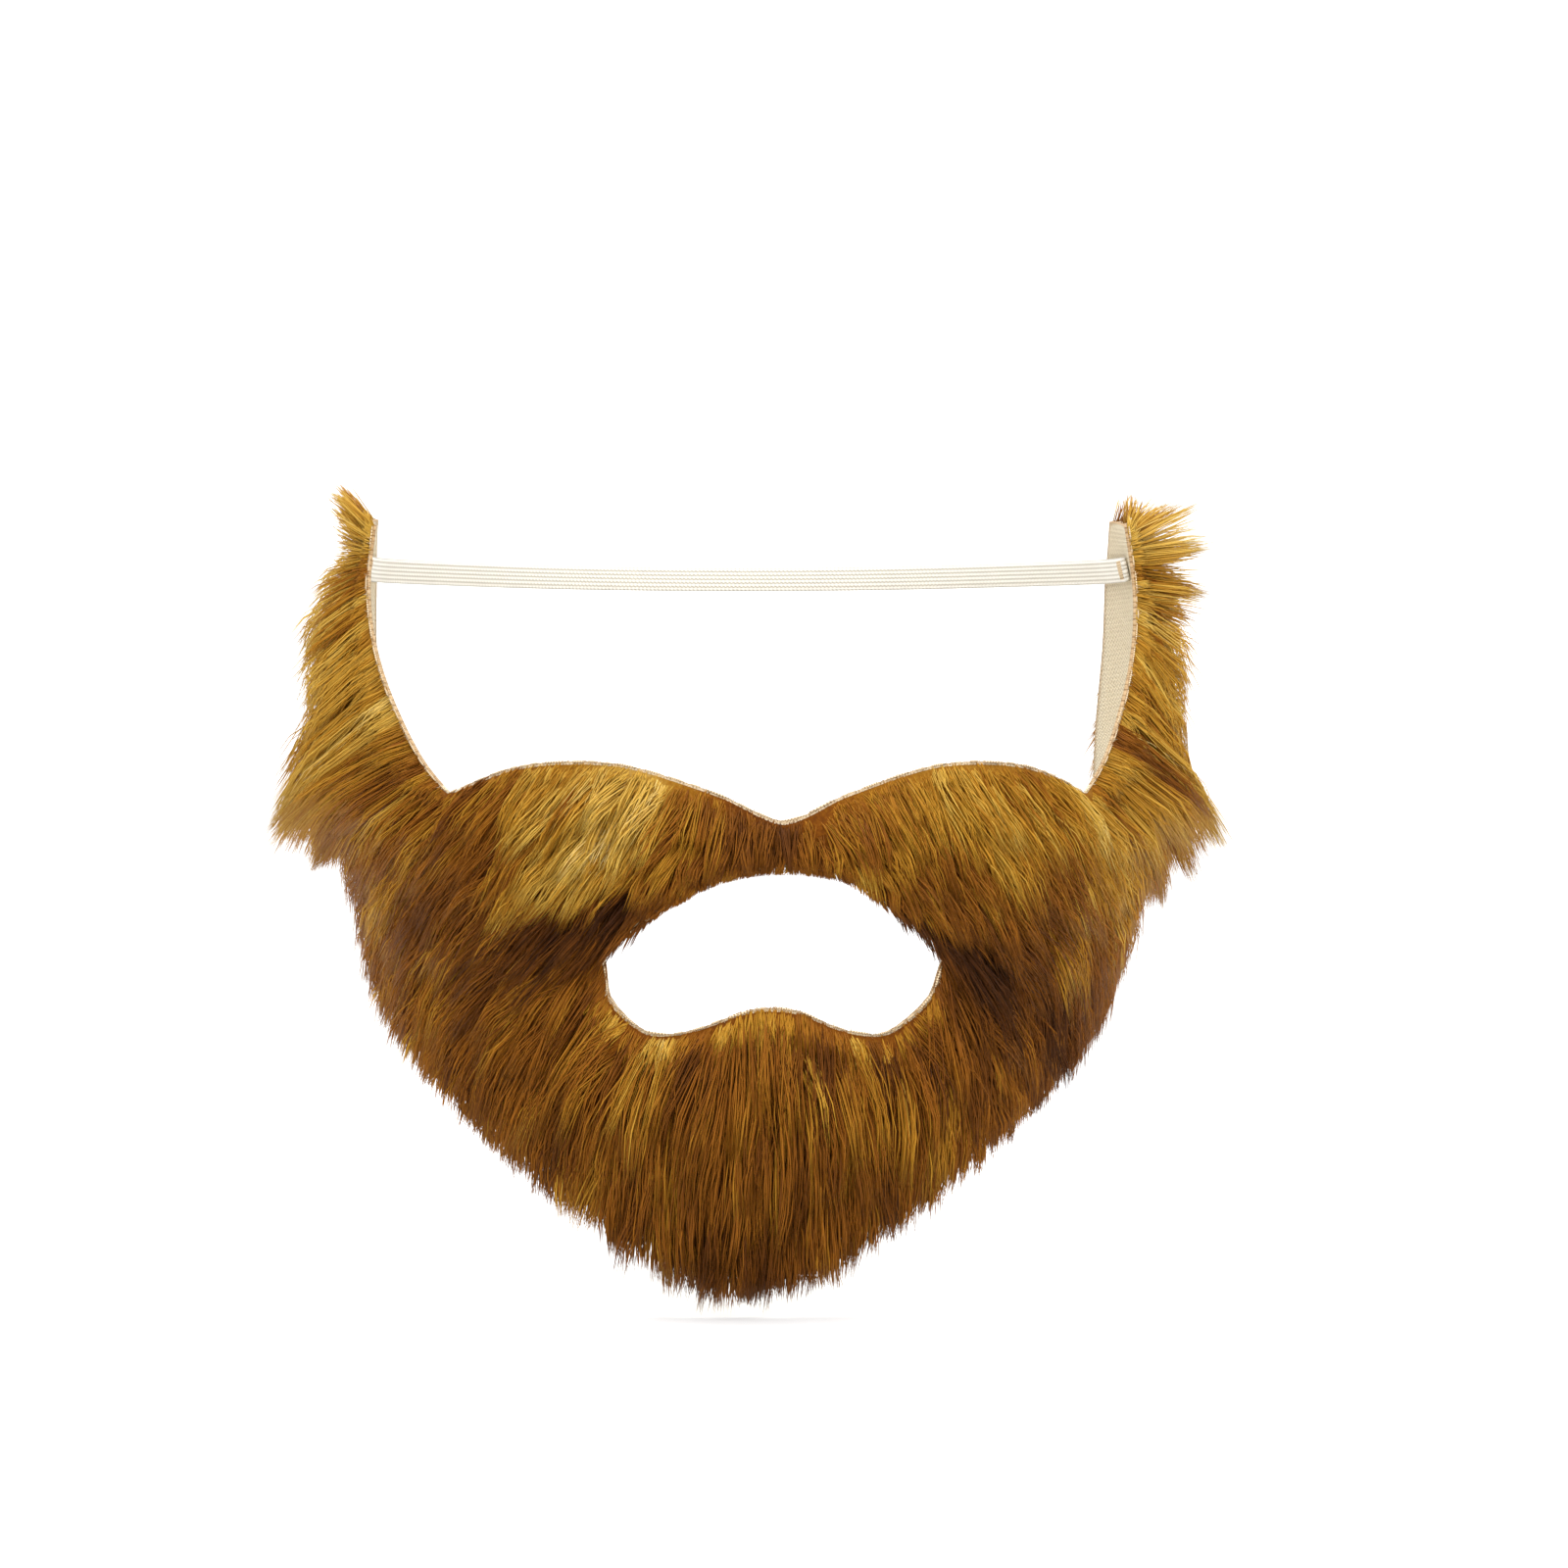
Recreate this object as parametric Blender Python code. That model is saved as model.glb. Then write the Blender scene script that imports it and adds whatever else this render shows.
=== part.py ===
"""A fancy-dress beard, cut from one sheet of long-pile fur cloth and worn on an elastic strap.

Metres, +Z up. The beard faces -Y. The origin is on the wearer's side of the cloth, in the middle of
the upper lip. Every piece follows one head surface, given by a turn about the head's upright axis
(0 at the nose, 90 at an ear) and a height above the lip.
"""

import math
import random

import bpy
import bmesh
from mathutils import Vector

# Driving sizes of the worn beard.
HEAD_HALF_WIDTH = 0.0745
LIP_TO_EARS = 0.0960
EARS_TO_NAPE = 0.0920
SIDEBURN_RISE = 0.0660
CHIN_DROP = 0.0800
WRAP_DEG = 112.0
LOWER_DRIFT = 0.0065
EAR_LIFT = 0.0080
EAR_TURN_DEG = 102.0
EAR_HEIGHT = 0.0360
EAR_SPREAD_DEG = 20.0
EAR_SPREAD = 0.0330

# Cloth and pile.
CLOTH_THICK = 0.0012
CUT_EDGE_BARE = 0.0010
LAYER_GAP = 0.0003
PILE_THICK = 0.0056
PILE_EDGE_THICK = 0.0026
SIDEBURN_EXTRA = 0.0030
PILE_OVERHANG = 0.0030
LOCK_LENGTH = 0.0240
LOCK_WIDTH = 0.0110
LOCK_THICK = 0.0060

# Elastic strap.
STRAP_WIDTH = 0.0050
STRAP_THICK = 0.0009
STRAP_BELOW_TIP = 0.0100
STRAP_START_DEG = 96.0
STRAP_STEP_DEG = 6.0

# How finely the surfaces are divided.
STEPS_PER_ROW = 2
STEPS_ACROSS = 4
LOCK_SIDES = 5
SMALLEST_BODY = 1e-9

# One row for each level of the head: height as a share of the rise or the drop, half-width and
# depth in front of the ears as shares of the head's.
LEVELS = [
    # height, width, depth
    (1.10, 0.990, 0.900),
    (0.60, 1.000, 0.940),
    (0.22, 1.000, 0.960),
    (0.00, 0.990, 1.000),
    (-0.18, 0.970, 1.010),
    (-0.37, 0.932, 0.985),
    (-0.56, 0.882, 1.005),
    (-0.72, 0.820, 1.015),
    (-0.88, 0.730, 0.985),
    (-1.05, 0.640, 0.935),
    (-1.30, 0.600, 0.900),
]

# One row for each section across the beard, from the sideburn's tip to the chin. A turn is a share
# of WRAP_DEG, a height a share of the rise or the drop.
BEARD_ROWS = [
    # name, inner turn, inner height, outer turn, outer height
    ("tip", 0.790, 0.970, 0.910, 1.000),
    ("temple", 0.777, 0.820, 0.964, 0.820),
    ("ear", 0.741, 0.650, 0.991, 0.610),
    ("cheek", 0.683, 0.470, 1.000, 0.390),
    ("low_cheek", 0.585, 0.265, 0.982, 0.170),
    ("dip", 0.504, 0.144, 0.938, -0.025),
    ("bridge_top", 0.429, 0.030, 0.875, -0.160),
    ("bridge_low", 0.339, -0.112, 0.786, -0.290),
    ("corner", 0.246, -0.256, 0.679, -0.415),
    ("lobe_side", 0.232, -0.362, 0.563, -0.540),
    ("lobe", 0.170, -0.450, 0.429, -0.675),
    ("lobe_in", 0.098, -0.437, 0.286, -0.825),
    ("chin_side", 0.045, -0.400, 0.143, -0.950),
    ("middle", 0.000, -0.388, 0.000, -1.020),
]

# One row for each section down the moustache, from beside the mouth's corner to the nose.
MOUSTACHE_ROWS = [
    # name, top turn, top height, bottom turn, bottom height
    ("crest", 0.384, 0.218, 0.214, -0.219),
    ("crown", 0.295, 0.239, 0.170, -0.169),
    ("slope", 0.214, 0.230, 0.130, -0.122),
    ("nostril_side", 0.143, 0.188, 0.089, -0.085),
    ("nostril", 0.071, 0.130, 0.045, -0.062),
    ("middle", 0.000, 0.064, 0.000, -0.055),
]

# One row for each zone of locks along the beard's length, which runs from 0 at the sideburn's tip
# to 1 at the chin. Lean turns a lock from straight down towards the ear and lift raises it off the
# cloth, in degrees. Length and reach, which is how far the outermost tips pass the cloth's edge,
# are shares of LOCK_LENGTH, width of LOCK_WIDTH and thickness of LOCK_THICK.
LOCK_ZONES = [
    # along, lean, lift, length, reach, width, thick
    (0.00, 108.0, 40.0, 0.75, 0.38, 0.73, 0.83),
    (0.09, 88.0, 32.0, 0.80, 0.38, 0.82, 0.92),
    (0.18, 66.0, 26.0, 0.83, 0.33, 0.86, 0.92),
    (0.26, 60.0, 32.0, 0.92, 0.42, 0.91, 1.00),
    (0.33, 66.0, 54.0, 1.12, 0.67, 0.91, 1.00),
    (0.38, 54.0, 34.0, 0.92, 0.38, 0.91, 1.00),
    (0.44, 48.0, 16.0, 0.83, 0.21, 1.00, 1.00),
    (0.54, 44.0, 10.0, 0.83, 0.17, 1.05, 1.00),
    (0.68, 32.0, 8.0, 0.83, 0.15, 1.05, 1.00),
    (0.84, 16.0, 8.0, 0.83, 0.17, 1.05, 1.00),
    (1.00, 0.0, 8.0, 0.83, 0.19, 1.05, 1.00),
]

# One row for each tier of locks across the beard: the place of its roots from the inner edge (0)
# to the outer edge (1), or of its tips for the first, rim tier, the locks from a sideburn's tip to
# the chin, a factor on their length, and a factor on their lift with degrees added to it.
BEARD_TIERS = [
    # across, count, length factor, lift factor, added lift
    (1.00, 18, 1.00, 1.00, 0.0),
    (0.54, 13, 1.10, 0.40, 9.0),
    (0.31, 11, 1.10, 0.40, 10.0),
    (0.11, 8, 1.00, 0.40, 11.0),
]

# The same for the moustache, from its upper edge (0) to the mouth (1) and from beside the mouth's
# corner to the nose, with its own lean and lift.
MOUSTACHE_TIERS = [
    # down, count, lean, lift, length
    (0.66, 5, 34.0, 20.0, 0.62),
    (0.26, 4, 42.0, 20.0, 0.67),
]

RANDOM_SEED = 7
LOCK_SHAPE = [
    # along the lock, width factor, thickness factor
    (0.00, 0.70, 0.80),
    (0.35, 1.00, 1.00),
    (0.75, 0.66, 0.70),
    (1.00, 0.10, 0.16),
]


def smooth(value, low, high):
    """0 below low, 1 above high, and an even S between them."""
    share = min(1.0, max(0.0, (value - low) / (high - low)))
    return share * share * (3.0 - 2.0 * share)


def height_of(share):
    """Metres above the lip for a height share of the tables."""
    return share * (SIDEBURN_RISE if share > 0.0 else CHIN_DROP)


def curve_through(rows, place):
    """Point at place (0 to the last row's index) on a smooth curve through rows of equal length."""
    last = len(rows) - 1
    index = min(last - 1, max(0, int(math.floor(place))))
    t = place - index
    before = rows[max(0, index - 1)]
    start, end = rows[index], rows[index + 1]
    after = rows[min(last, index + 2)]
    result = []
    for p0, p1, p2, p3 in zip(before, start, end, after):
        slope_in, slope_out = (p2 - p0) / 2.0, (p3 - p1) / 2.0
        blend = (2 * t**3 - 3 * t**2 + 1) * p1 + (t**3 - 2 * t**2 + t) * slope_in
        result.append(blend + (3 * t**2 - 2 * t**3) * p2 + (t**3 - t**2) * slope_out)
    return result


def level_at(height):
    """Half-width and forward depth of the head at a height."""
    heights = [height_of(row[0]) for row in LEVELS]
    if height >= heights[0]:
        place = 0.0
    elif height <= heights[-1]:
        place = len(LEVELS) - 1.0
    else:
        index = next(i for i in range(len(LEVELS) - 1) if heights[i + 1] < height)
        place = index + (heights[index] - height) / (heights[index] - heights[index + 1])
    width, depth = curve_through([row[1:] for row in LEVELS], place)
    return width * HEAD_HALF_WIDTH, depth * LIP_TO_EARS


def skin(turn, height):
    """Point on the head's surface at a turn in degrees and a height in metres."""
    half_width, depth = level_at(height)
    angle = math.radians(turn)
    reach = depth if math.cos(angle) > 0.0 else EARS_TO_NAPE
    x = half_width * math.sin(angle)
    y = LIP_TO_EARS - reach * math.cos(angle)
    off_ear = (abs(turn) - EAR_TURN_DEG) / EAR_SPREAD_DEG
    off_level = (height - EAR_HEIGHT) / EAR_SPREAD
    x += math.copysign(EAR_LIFT * math.exp(-off_ear**2 - off_level**2), turn)
    x -= LOWER_DRIFT * smooth(-height, 0.0, CHIN_DROP)
    return Vector((x, y, height))


def outward(turn, height):
    """Unit normal of the head's surface, away from the head."""
    step_deg, step = 0.5, 0.007 * HEAD_HALF_WIDTH
    across = skin(turn + step_deg, height) - skin(turn - step_deg, height)
    up = skin(turn, height + step) - skin(turn, height - step)
    return across.cross(up).normalized()


def layer(turn, height, offset):
    """Point at a distance outside the head's surface."""
    return skin(turn, height) + outward(turn, height) * offset


def both_sides(rows):
    """Rows from the left tip over the middle to the right tip, from the rows of one side."""
    left = [(-r[0], r[1], -r[2], r[3]) for r in rows]
    return left + [tuple(r) for r in reversed(rows[:-1])]


def places(rows):
    """Turn in degrees and height in metres of the two ends of each row of shares."""
    found = []
    for turn_a, height_a, turn_b, height_b in rows:
        found.append(
            (turn_a * WRAP_DEG, height_of(height_a), turn_b * WRAP_DEG, height_of(height_b))
        )
    return found


def finer(rows):
    """The rows with smooth steps between them, the rows themselves kept."""
    steps = (len(rows) - 1) * STEPS_PER_ROW
    return [curve_through(rows, i / STEPS_PER_ROW) for i in range(steps + 1)]


def row_index(rows, name):
    """Index of a named row in a table."""
    return [row[0] for row in rows].index(name)


BEARD_LINES = finer(places(both_sides([row[1:] for row in BEARD_ROWS])))
DIP_LINE = row_index(BEARD_ROWS, "dip") * STEPS_PER_ROW
CORNER_LINE = row_index(BEARD_ROWS, "corner") * STEPS_PER_ROW


def moustache_lines():
    """Sections of the moustache from the left to the right, without the two it shares."""
    dip, corner = BEARD_LINES[DIP_LINE], BEARD_LINES[CORNER_LINE]
    joint = (-dip[0], dip[1], -corner[0], corner[1])
    inner = places([row[1:] for row in MOUSTACHE_ROWS])
    side = [joint] + inner
    left = [(-r[0], r[1], -r[2], r[3]) for r in side]
    return finer(left + list(reversed(side[:-1])))


MOUSTACHE_LINES = moustache_lines()


def between(line, share):
    """Turn and height at a share of the way along a section, past its ends too."""
    turn_a, height_a, turn_b, height_b = line
    return turn_a + (turn_b - turn_a) * share, height_a + (height_b - height_a) * share


def line_length(line):
    """Length in metres of a section on the head."""
    return (skin(*between(line, 0.0)) - skin(*between(line, 1.0))).length


def sheet_places(inner_pull, outer_push):
    """Grid of the whole cut sheet: (turn, height, distance inside the nearest free edge) for each
    point, and its triangles as index lists. The pull bares the cut edges round the face, the push adds
    a rim beyond the outer edge, both in metres."""
    points, faces = [], []
    last_line = len(BEARD_LINES) - 1
    columns_across = STEPS_ACROSS + (1 if outer_push else 0)

    def joined(i):
        return DIP_LINE <= min(i, last_line - i) <= CORNER_LINE

    def beard_index(i, j):
        return i * (columns_across + 1) + j

    for i, line in enumerate(BEARD_LINES):
        length = line_length(line)
        low = 0.0 if joined(i) else inner_pull / length
        high = 1.0 + outer_push / length
        from_tip = min(i, last_line - i) * length
        shares = [low] + [j / STEPS_ACROSS for j in range(1, STEPS_ACROSS + 1)]
        if outer_push:
            shares.append(high)
        for share in shares:
            turn, height = between(line, share)
            to_inner = length if joined(i) else (share - low) * length
            points.append((turn, height, min(to_inner, (high - share) * length, from_tip)))
    for i in range(last_line):
        for j in range(columns_across):
            a, b = beard_index(i, j), beard_index(i + 1, j)
            faces += [(a, b, b + 1), (a, b + 1, a + 1)]

    down_steps = CORNER_LINE - DIP_LINE
    columns = [[beard_index(DIP_LINE + k, 0) for k in range(down_steps + 1)]]
    for line in MOUSTACHE_LINES[1:-1]:
        length = line_length(line)
        pull = inner_pull / length
        shares = [k / down_steps for k in range(down_steps + 1)]
        shares[0], shares[-1] = pull, 1.0 - pull
        column = []
        for share in shares:
            turn, height = between(line, share)
            column.append(len(points))
            points.append((turn, height, min(share - pull, 1.0 - pull - share) * length))
        columns.append(column)
    columns.append([beard_index(last_line - DIP_LINE - k, 0) for k in range(down_steps + 1)])
    for left, right in zip(columns, columns[1:]):
        for k in range(down_steps):
            faces += [(left[k], right[k], right[k + 1]), (left[k], right[k + 1], left[k + 1])]
    return points, faces


def shell(name, near, far_of, inner_pull, outer_push):
    """Closed wall that follows the sheet, from near metres off the head to far_of(point)."""
    points, faces = sheet_places(inner_pull, outer_push)
    bm = bmesh.new()
    inner = [bm.verts.new(layer(p[0], p[1], near)) for p in points]
    outer = [bm.verts.new(layer(p[0], p[1], far_of(p))) for p in points]
    edge_uses = {}
    for face in faces:
        bm.faces.new([inner[i] for i in face])
        bm.faces.new([outer[i] for i in reversed(face)])
        for a, b in zip(face, face[1:] + face[:1]):
            edge_uses[(a, b)] = True
    for a, b in edge_uses:
        if (b, a) not in edge_uses:
            bm.faces.new([inner[b], inner[a], outer[a], outer[b]])
    bmesh.ops.recalc_face_normals(bm, faces=bm.faces)
    return object_from(bm, name)


def object_from(bm, name):
    """New scene object that holds a bmesh."""
    mesh = bpy.data.meshes.new(name)
    bm.to_mesh(mesh)
    bm.free()
    made = bpy.data.objects.new(name, mesh)
    bpy.context.scene.collection.objects.link(made)
    return made


def material(name, color, roughness):
    """Plain cloth or pile material."""
    made = bpy.data.materials.new(name)
    made.use_nodes = True
    shader = made.node_tree.nodes["Principled BSDF"]
    shader.inputs["Base Color"].default_value = (*color, 1.0)
    shader.inputs["Roughness"].default_value = roughness
    shader.inputs["Metallic"].default_value = 0.0
    return made


def pile_depth(height):
    """Full depth of the pile's body, which is greater on the sideburns."""
    return PILE_THICK + SIDEBURN_EXTRA * smooth(height, 0.1 * SIDEBURN_RISE, 0.6 * SIDEBURN_RISE)


def pile_top(point):
    """Outside of the pile at a grid point: thin at the cut edges and full further in."""
    turn, height, inside = point
    full = smooth(inside, 0.0, 1.3 * PILE_THICK)
    thick = PILE_EDGE_THICK + (pile_depth(height) - PILE_EDGE_THICK) * full
    return CLOTH_THICK + LAYER_GAP + thick


def zone_at(along):
    """Lean and lift in degrees of a lock at a place along the beard, and its length, reach, width
    and thickness in metres."""
    last = len(LOCK_ZONES) - 1
    index = next((i for i in range(last) if along <= LOCK_ZONES[i + 1][0]), last - 1)
    start, end = LOCK_ZONES[index], LOCK_ZONES[index + 1]
    share = min(1.0, max(0.0, (along - start[0]) / (end[0] - start[0])))
    lean, lift, length, reach, width, thick = [
        a + (b - a) * share for a, b in zip(start[1:], end[1:])
    ]
    sizes = (length * LOCK_LENGTH, reach * LOCK_LENGTH, width * LOCK_WIDTH, thick * LOCK_THICK)
    return (lean, lift) + sizes


def swept(turn, height, side, lean, distance):
    """Turn and height after a distance over the head, in a lock's direction."""
    half_width, depth = level_at(height)
    radius = 0.5 * (half_width + depth)
    angle = math.radians(lean)
    sway = math.degrees(distance * math.sin(angle) / radius)
    return turn + side * sway, height - distance * math.cos(angle)


def add_lock(bm, root, side, lean, lift, length, width, thick, keeled_share):
    """One tapered lock of pile, rooted inside the pile's body and pointed at its tip. Up to
    keeled_share of its length it is solid down into the body below."""
    root_depth = CLOTH_THICK + LAYER_GAP + 0.45 * pile_depth(root[1])
    keel_depth = CLOTH_THICK + LAYER_GAP + 0.30 * PILE_THICK
    keel_half_width = 0.5 * width * math.cos(math.radians(90.0 - 360.0 / LOCK_SIDES))
    rise = length * math.sin(math.radians(lift))

    def spot(t):
        return swept(root[0], root[1], side, lean, length * t)

    def path(t):
        return layer(*spot(t), root_depth + rise * t ** 0.7)

    rings = []
    for t, width_share, thick_share in LOCK_SHAPE:
        here = path(t)
        along = (path(t + 0.05) - path(t - 0.05 if t else 0.0)).normalized()
        normal = outward(*spot(t))
        across = along.cross(normal).normalized()
        proud = across.cross(along).normalized()
        ring = []
        for k in range(LOCK_SIDES):
            angle = math.pi / 2 + 2 * math.pi * k / LOCK_SIDES
            x = math.cos(angle) * 0.5 * width * width_share
            y = math.sin(angle) * 0.5 * thick * thick_share
            if t <= keeled_share and y < 0.0:
                wide = math.copysign(keel_half_width * width_share, x)
                ring.append(bm.verts.new(layer(*spot(t), keel_depth) + across * wide))
            else:
                ring.append(bm.verts.new(here + across * x + proud * y))
        rings.append(ring)
    made = [bm.faces.new(rings[0]), bm.faces.new(list(reversed(rings[-1])))]
    for lower, upper in zip(rings, rings[1:]):
        for k in range(LOCK_SIDES):
            m = (k + 1) % LOCK_SIDES
            made.append(bm.faces.new([lower[k], upper[k], upper[m], lower[m]]))
    bmesh.ops.recalc_face_normals(bm, faces=made)


def beard_locks(bm, dice):
    """Tiers of locks on both sides of the beard, the rim tier first."""
    half = (len(BEARD_LINES) - 1) / 2
    for tier, (across, count, factor, lift_factor, added_lift) in enumerate(BEARD_TIERS):
        for side in (-1, 1):
            for k in range(count):
                along = (k + 0.5 * (tier % 2) + 0.35 + dice.uniform(-0.15, 0.15)) / count
                along = min(0.985, along)
                line = curve_through(BEARD_LINES, half * along if side < 0 else half * (2 - along))
                lean, lift, length, reach, width, thick = zone_at(along)
                lean += dice.uniform(-8.0, 8.0)
                length *= factor * dice.uniform(0.85, 1.15)
                if tier == 0:
                    tip = between(line, across + reach / line_length(line))
                    root = swept(*tip, side, lean, -length)
                    keeled_share = 0.9 - reach / length
                else:
                    root = between(line, across + dice.uniform(-0.04, 0.04))
                    keeled_share = 1.0
                lift = lift * lift_factor + added_lift + dice.uniform(-3.0, 3.0)
                width *= dice.uniform(0.85, 1.15)
                add_lock(bm, root, side, lean, lift, length, width, thick, keeled_share)


def moustache_locks(bm, dice):
    """Tiers of shorter locks that hang over the mouth's upper edge."""
    half = (len(MOUSTACHE_LINES) - 1) / 2
    for tier, (down, count, lean, lift, share) in enumerate(MOUSTACHE_TIERS):
        for side in (-1, 1):
            for k in range(count):
                along = (k + 0.3 + 0.3 * tier) / count
                place = half * along if side < 0 else half * (2 - along)
                root = between(curve_through(MOUSTACHE_LINES, place), down)
                length = share * LOCK_LENGTH * (1.15 - 0.55 * along) * dice.uniform(0.9, 1.1)
                tilt = lean * (1.0 - along) + dice.uniform(-5.0, 5.0)
                width = 0.75 * LOCK_WIDTH
                add_lock(bm, root, side, tilt, lift, length, width, 0.75 * LOCK_THICK, 0.5)


def enclosed(faces):
    """Volume that triangles enclose, below zero where they face inwards."""
    corners = [[vert.co for vert in face.verts] for face in faces]
    return sum(a.dot(b.cross(c)) for a, b, c in corners) / 6.0


def outer_skin(solid):
    """Puts the outer skin of a united solid in place of its mesh and modifiers, without the slivers
    and pockets that locks close off between them."""
    view = bpy.context.evaluated_depsgraph_get()
    bm = bmesh.new()
    bm.from_mesh(bpy.data.meshes.new_from_object(solid.evaluated_get(view)))
    bmesh.ops.triangulate(bm, faces=bm.faces)
    left = set(bm.faces)
    while left:
        queue = [left.pop()]
        skin_faces = list(queue)
        while queue:
            edges = [edge for edge in queue.pop().edges if len(edge.link_faces) == 2]
            near = {face for edge in edges for face in edge.link_faces} & left
            left -= near
            queue.extend(near)
            skin_faces.extend(near)
        if enclosed(skin_faces) < SMALLEST_BODY:
            bmesh.ops.delete(bm, geom=skin_faces, context="FACES")
    bm.to_mesh(solid.data)
    bm.free()
    solid.modifiers.clear()


def fur_pile():
    """The pile: a thick body over the cloth with locks fused into it."""
    pile = shell("fur_pile", CLOTH_THICK + LAYER_GAP, pile_top, CUT_EDGE_BARE, PILE_OVERHANG)
    dice = random.Random(RANDOM_SEED)
    bm = bmesh.new()
    beard_locks(bm, dice)
    moustache_locks(bm, dice)
    locks = object_from(bm, "lock_shapes")
    union = pile.modifiers.new("locks", "BOOLEAN")
    union.operation = "UNION"
    union.solver = "EXACT"
    union.use_self = True
    union.object = locks
    outer_skin(pile)
    bpy.data.objects.remove(locks)
    pile.data.materials.append(material("ginger_pile", (0.42, 0.20, 0.05), 0.65))
    return pile


def backing_cloth():
    """The knitted ground cloth that the pile grows from."""
    cloth = shell("backing_cloth", 0.0, lambda point: CLOTH_THICK, 0.0, 0.0)
    cloth.data.materials.append(material("ground_cloth", (0.72, 0.62, 0.45), 0.85))
    return cloth


def elastic_strap():
    """A flat elastic from one sideburn round the back of the head to the other."""
    bm = bmesh.new()
    middle = SIDEBURN_RISE - STRAP_BELOW_TIP
    sweep = 360.0 - 2.0 * STRAP_START_DEG
    steps = round(sweep / STRAP_STEP_DEG)
    rings = []
    for i in range(steps + 1):
        turn = STRAP_START_DEG + sweep * i / steps
        side_turn = turn if turn <= 180.0 else turn - 360.0
        ring = []
        for depth, rise in ((0, -0.5), (1, -0.5), (1, 0.5), (0, 0.5)):
            height = middle + rise * STRAP_WIDTH
            point = skin(side_turn, height)
            normal = outward(side_turn, middle)
            ring.append(bm.verts.new(point - normal * (LAYER_GAP + depth * STRAP_THICK)))
        rings.append(ring)
    for near, far in zip(rings, rings[1:]):
        for k in range(4):
            m = (k + 1) % 4
            bm.faces.new([near[k], near[m], far[m], far[k]])
    bm.faces.new(rings[0])
    bm.faces.new(list(reversed(rings[-1])))
    bmesh.ops.recalc_face_normals(bm, faces=bm.faces)
    strap = object_from(bm, "elastic_strap")
    strap.data.materials.append(material("elastic", (0.80, 0.77, 0.70), 0.7))
    return strap


def main():
    """Clears the scene and builds the three pieces."""
    for old in list(bpy.data.objects):
        bpy.data.objects.remove(old)
    backing_cloth()
    fur_pile()
    elastic_strap()


main()
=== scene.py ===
"""Dresses the fancy-dress beard: ground cloth, cut edges, underfur, single hairs and elastic.

Metres, +Z up, the beard facing -Y. A place on the beard is a turn about the head's upright axis in
degrees (0 at the nose, 90 at an ear) and a height above the lip.
"""
import logging
import math
from dataclasses import dataclass, field
from enum import Enum
from functools import cached_property
from typing import Any, Callable

import bmesh
import bpy
import numpy as np
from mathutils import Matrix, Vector


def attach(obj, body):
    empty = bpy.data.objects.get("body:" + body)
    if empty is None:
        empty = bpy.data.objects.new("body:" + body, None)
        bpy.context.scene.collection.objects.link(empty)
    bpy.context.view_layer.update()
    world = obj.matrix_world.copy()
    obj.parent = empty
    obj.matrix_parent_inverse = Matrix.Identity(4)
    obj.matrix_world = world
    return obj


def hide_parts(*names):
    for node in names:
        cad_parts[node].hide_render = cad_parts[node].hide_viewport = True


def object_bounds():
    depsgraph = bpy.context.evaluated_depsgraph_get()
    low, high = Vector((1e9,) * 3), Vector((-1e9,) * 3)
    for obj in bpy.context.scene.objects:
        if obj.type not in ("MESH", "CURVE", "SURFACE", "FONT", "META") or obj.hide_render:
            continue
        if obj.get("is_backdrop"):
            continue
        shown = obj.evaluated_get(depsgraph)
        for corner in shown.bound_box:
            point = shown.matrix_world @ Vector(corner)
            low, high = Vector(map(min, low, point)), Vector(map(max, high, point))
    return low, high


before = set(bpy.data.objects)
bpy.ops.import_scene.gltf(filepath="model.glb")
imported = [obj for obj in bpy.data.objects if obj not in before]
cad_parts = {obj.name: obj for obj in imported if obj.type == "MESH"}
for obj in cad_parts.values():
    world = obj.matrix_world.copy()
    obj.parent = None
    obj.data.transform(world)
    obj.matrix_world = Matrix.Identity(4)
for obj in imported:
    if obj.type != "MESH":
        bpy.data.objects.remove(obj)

CAD_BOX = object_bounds()
Array = np.ndarray
Bmesh = bmesh.types.BMesh
Material = bpy.types.Material
Mesh = bpy.types.Mesh
Piece = bpy.types.Object
LOG = logging.getLogger("beard")
BODY = "root"
BAKE_MAP = "OFBake"
CLOTH_MAP = "Cloth"
WEAVE_MAP = "Weave"
CLOTH_LAYERS = ("turn", "height", "inside")
TONE_LANES = 64
MM = 0.001
TONE_LAYER = "tone"


def smooth(value: Array, low: float, high: float) -> Array:
    """An even S from 0 at low to 1 at high."""
    share = np.clip((value - low) / (high - low), 0.0, 1.0)
    return share * share * (3.0 - 2.0 * share)


def curve_through(rows: Array, place: Array) -> Array:
    """Points on a smooth curve through rows of equal length.

    Args:
        rows: the rows, one after another.
        place: where on the curve, from 0 to the last row's index.

    Returns:
        One row for each place.
    """
    last = len(rows) - 1
    index = np.clip(np.floor(place).astype(int), 0, last - 1)
    t = (place - index)[:, None]
    start, end = rows[index], rows[index + 1]
    slope_in = (end - rows[np.maximum(0, index - 1)]) / 2.0
    slope_out = (rows[np.minimum(last, index + 2)] - start) / 2.0
    blend = (2 * t**3 - 3 * t**2 + 1) * start + (t**3 - 2 * t**2 + t) * slope_in
    return blend + (3 * t**2 - 2 * t**3) * end + (t**3 - t**2) * slope_out


def unit(vectors: Array) -> Array:
    """Vectors scaled to length 1."""
    return vectors / np.maximum(np.linalg.norm(vectors, axis=-1, keepdims=True), 1e-12)


def run_along(points: Array) -> Array:
    """Metres along a line of points, at each of them."""
    return np.concatenate([[0.0], np.cumsum(np.linalg.norm(np.diff(points, axis=0), axis=1))])


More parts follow.
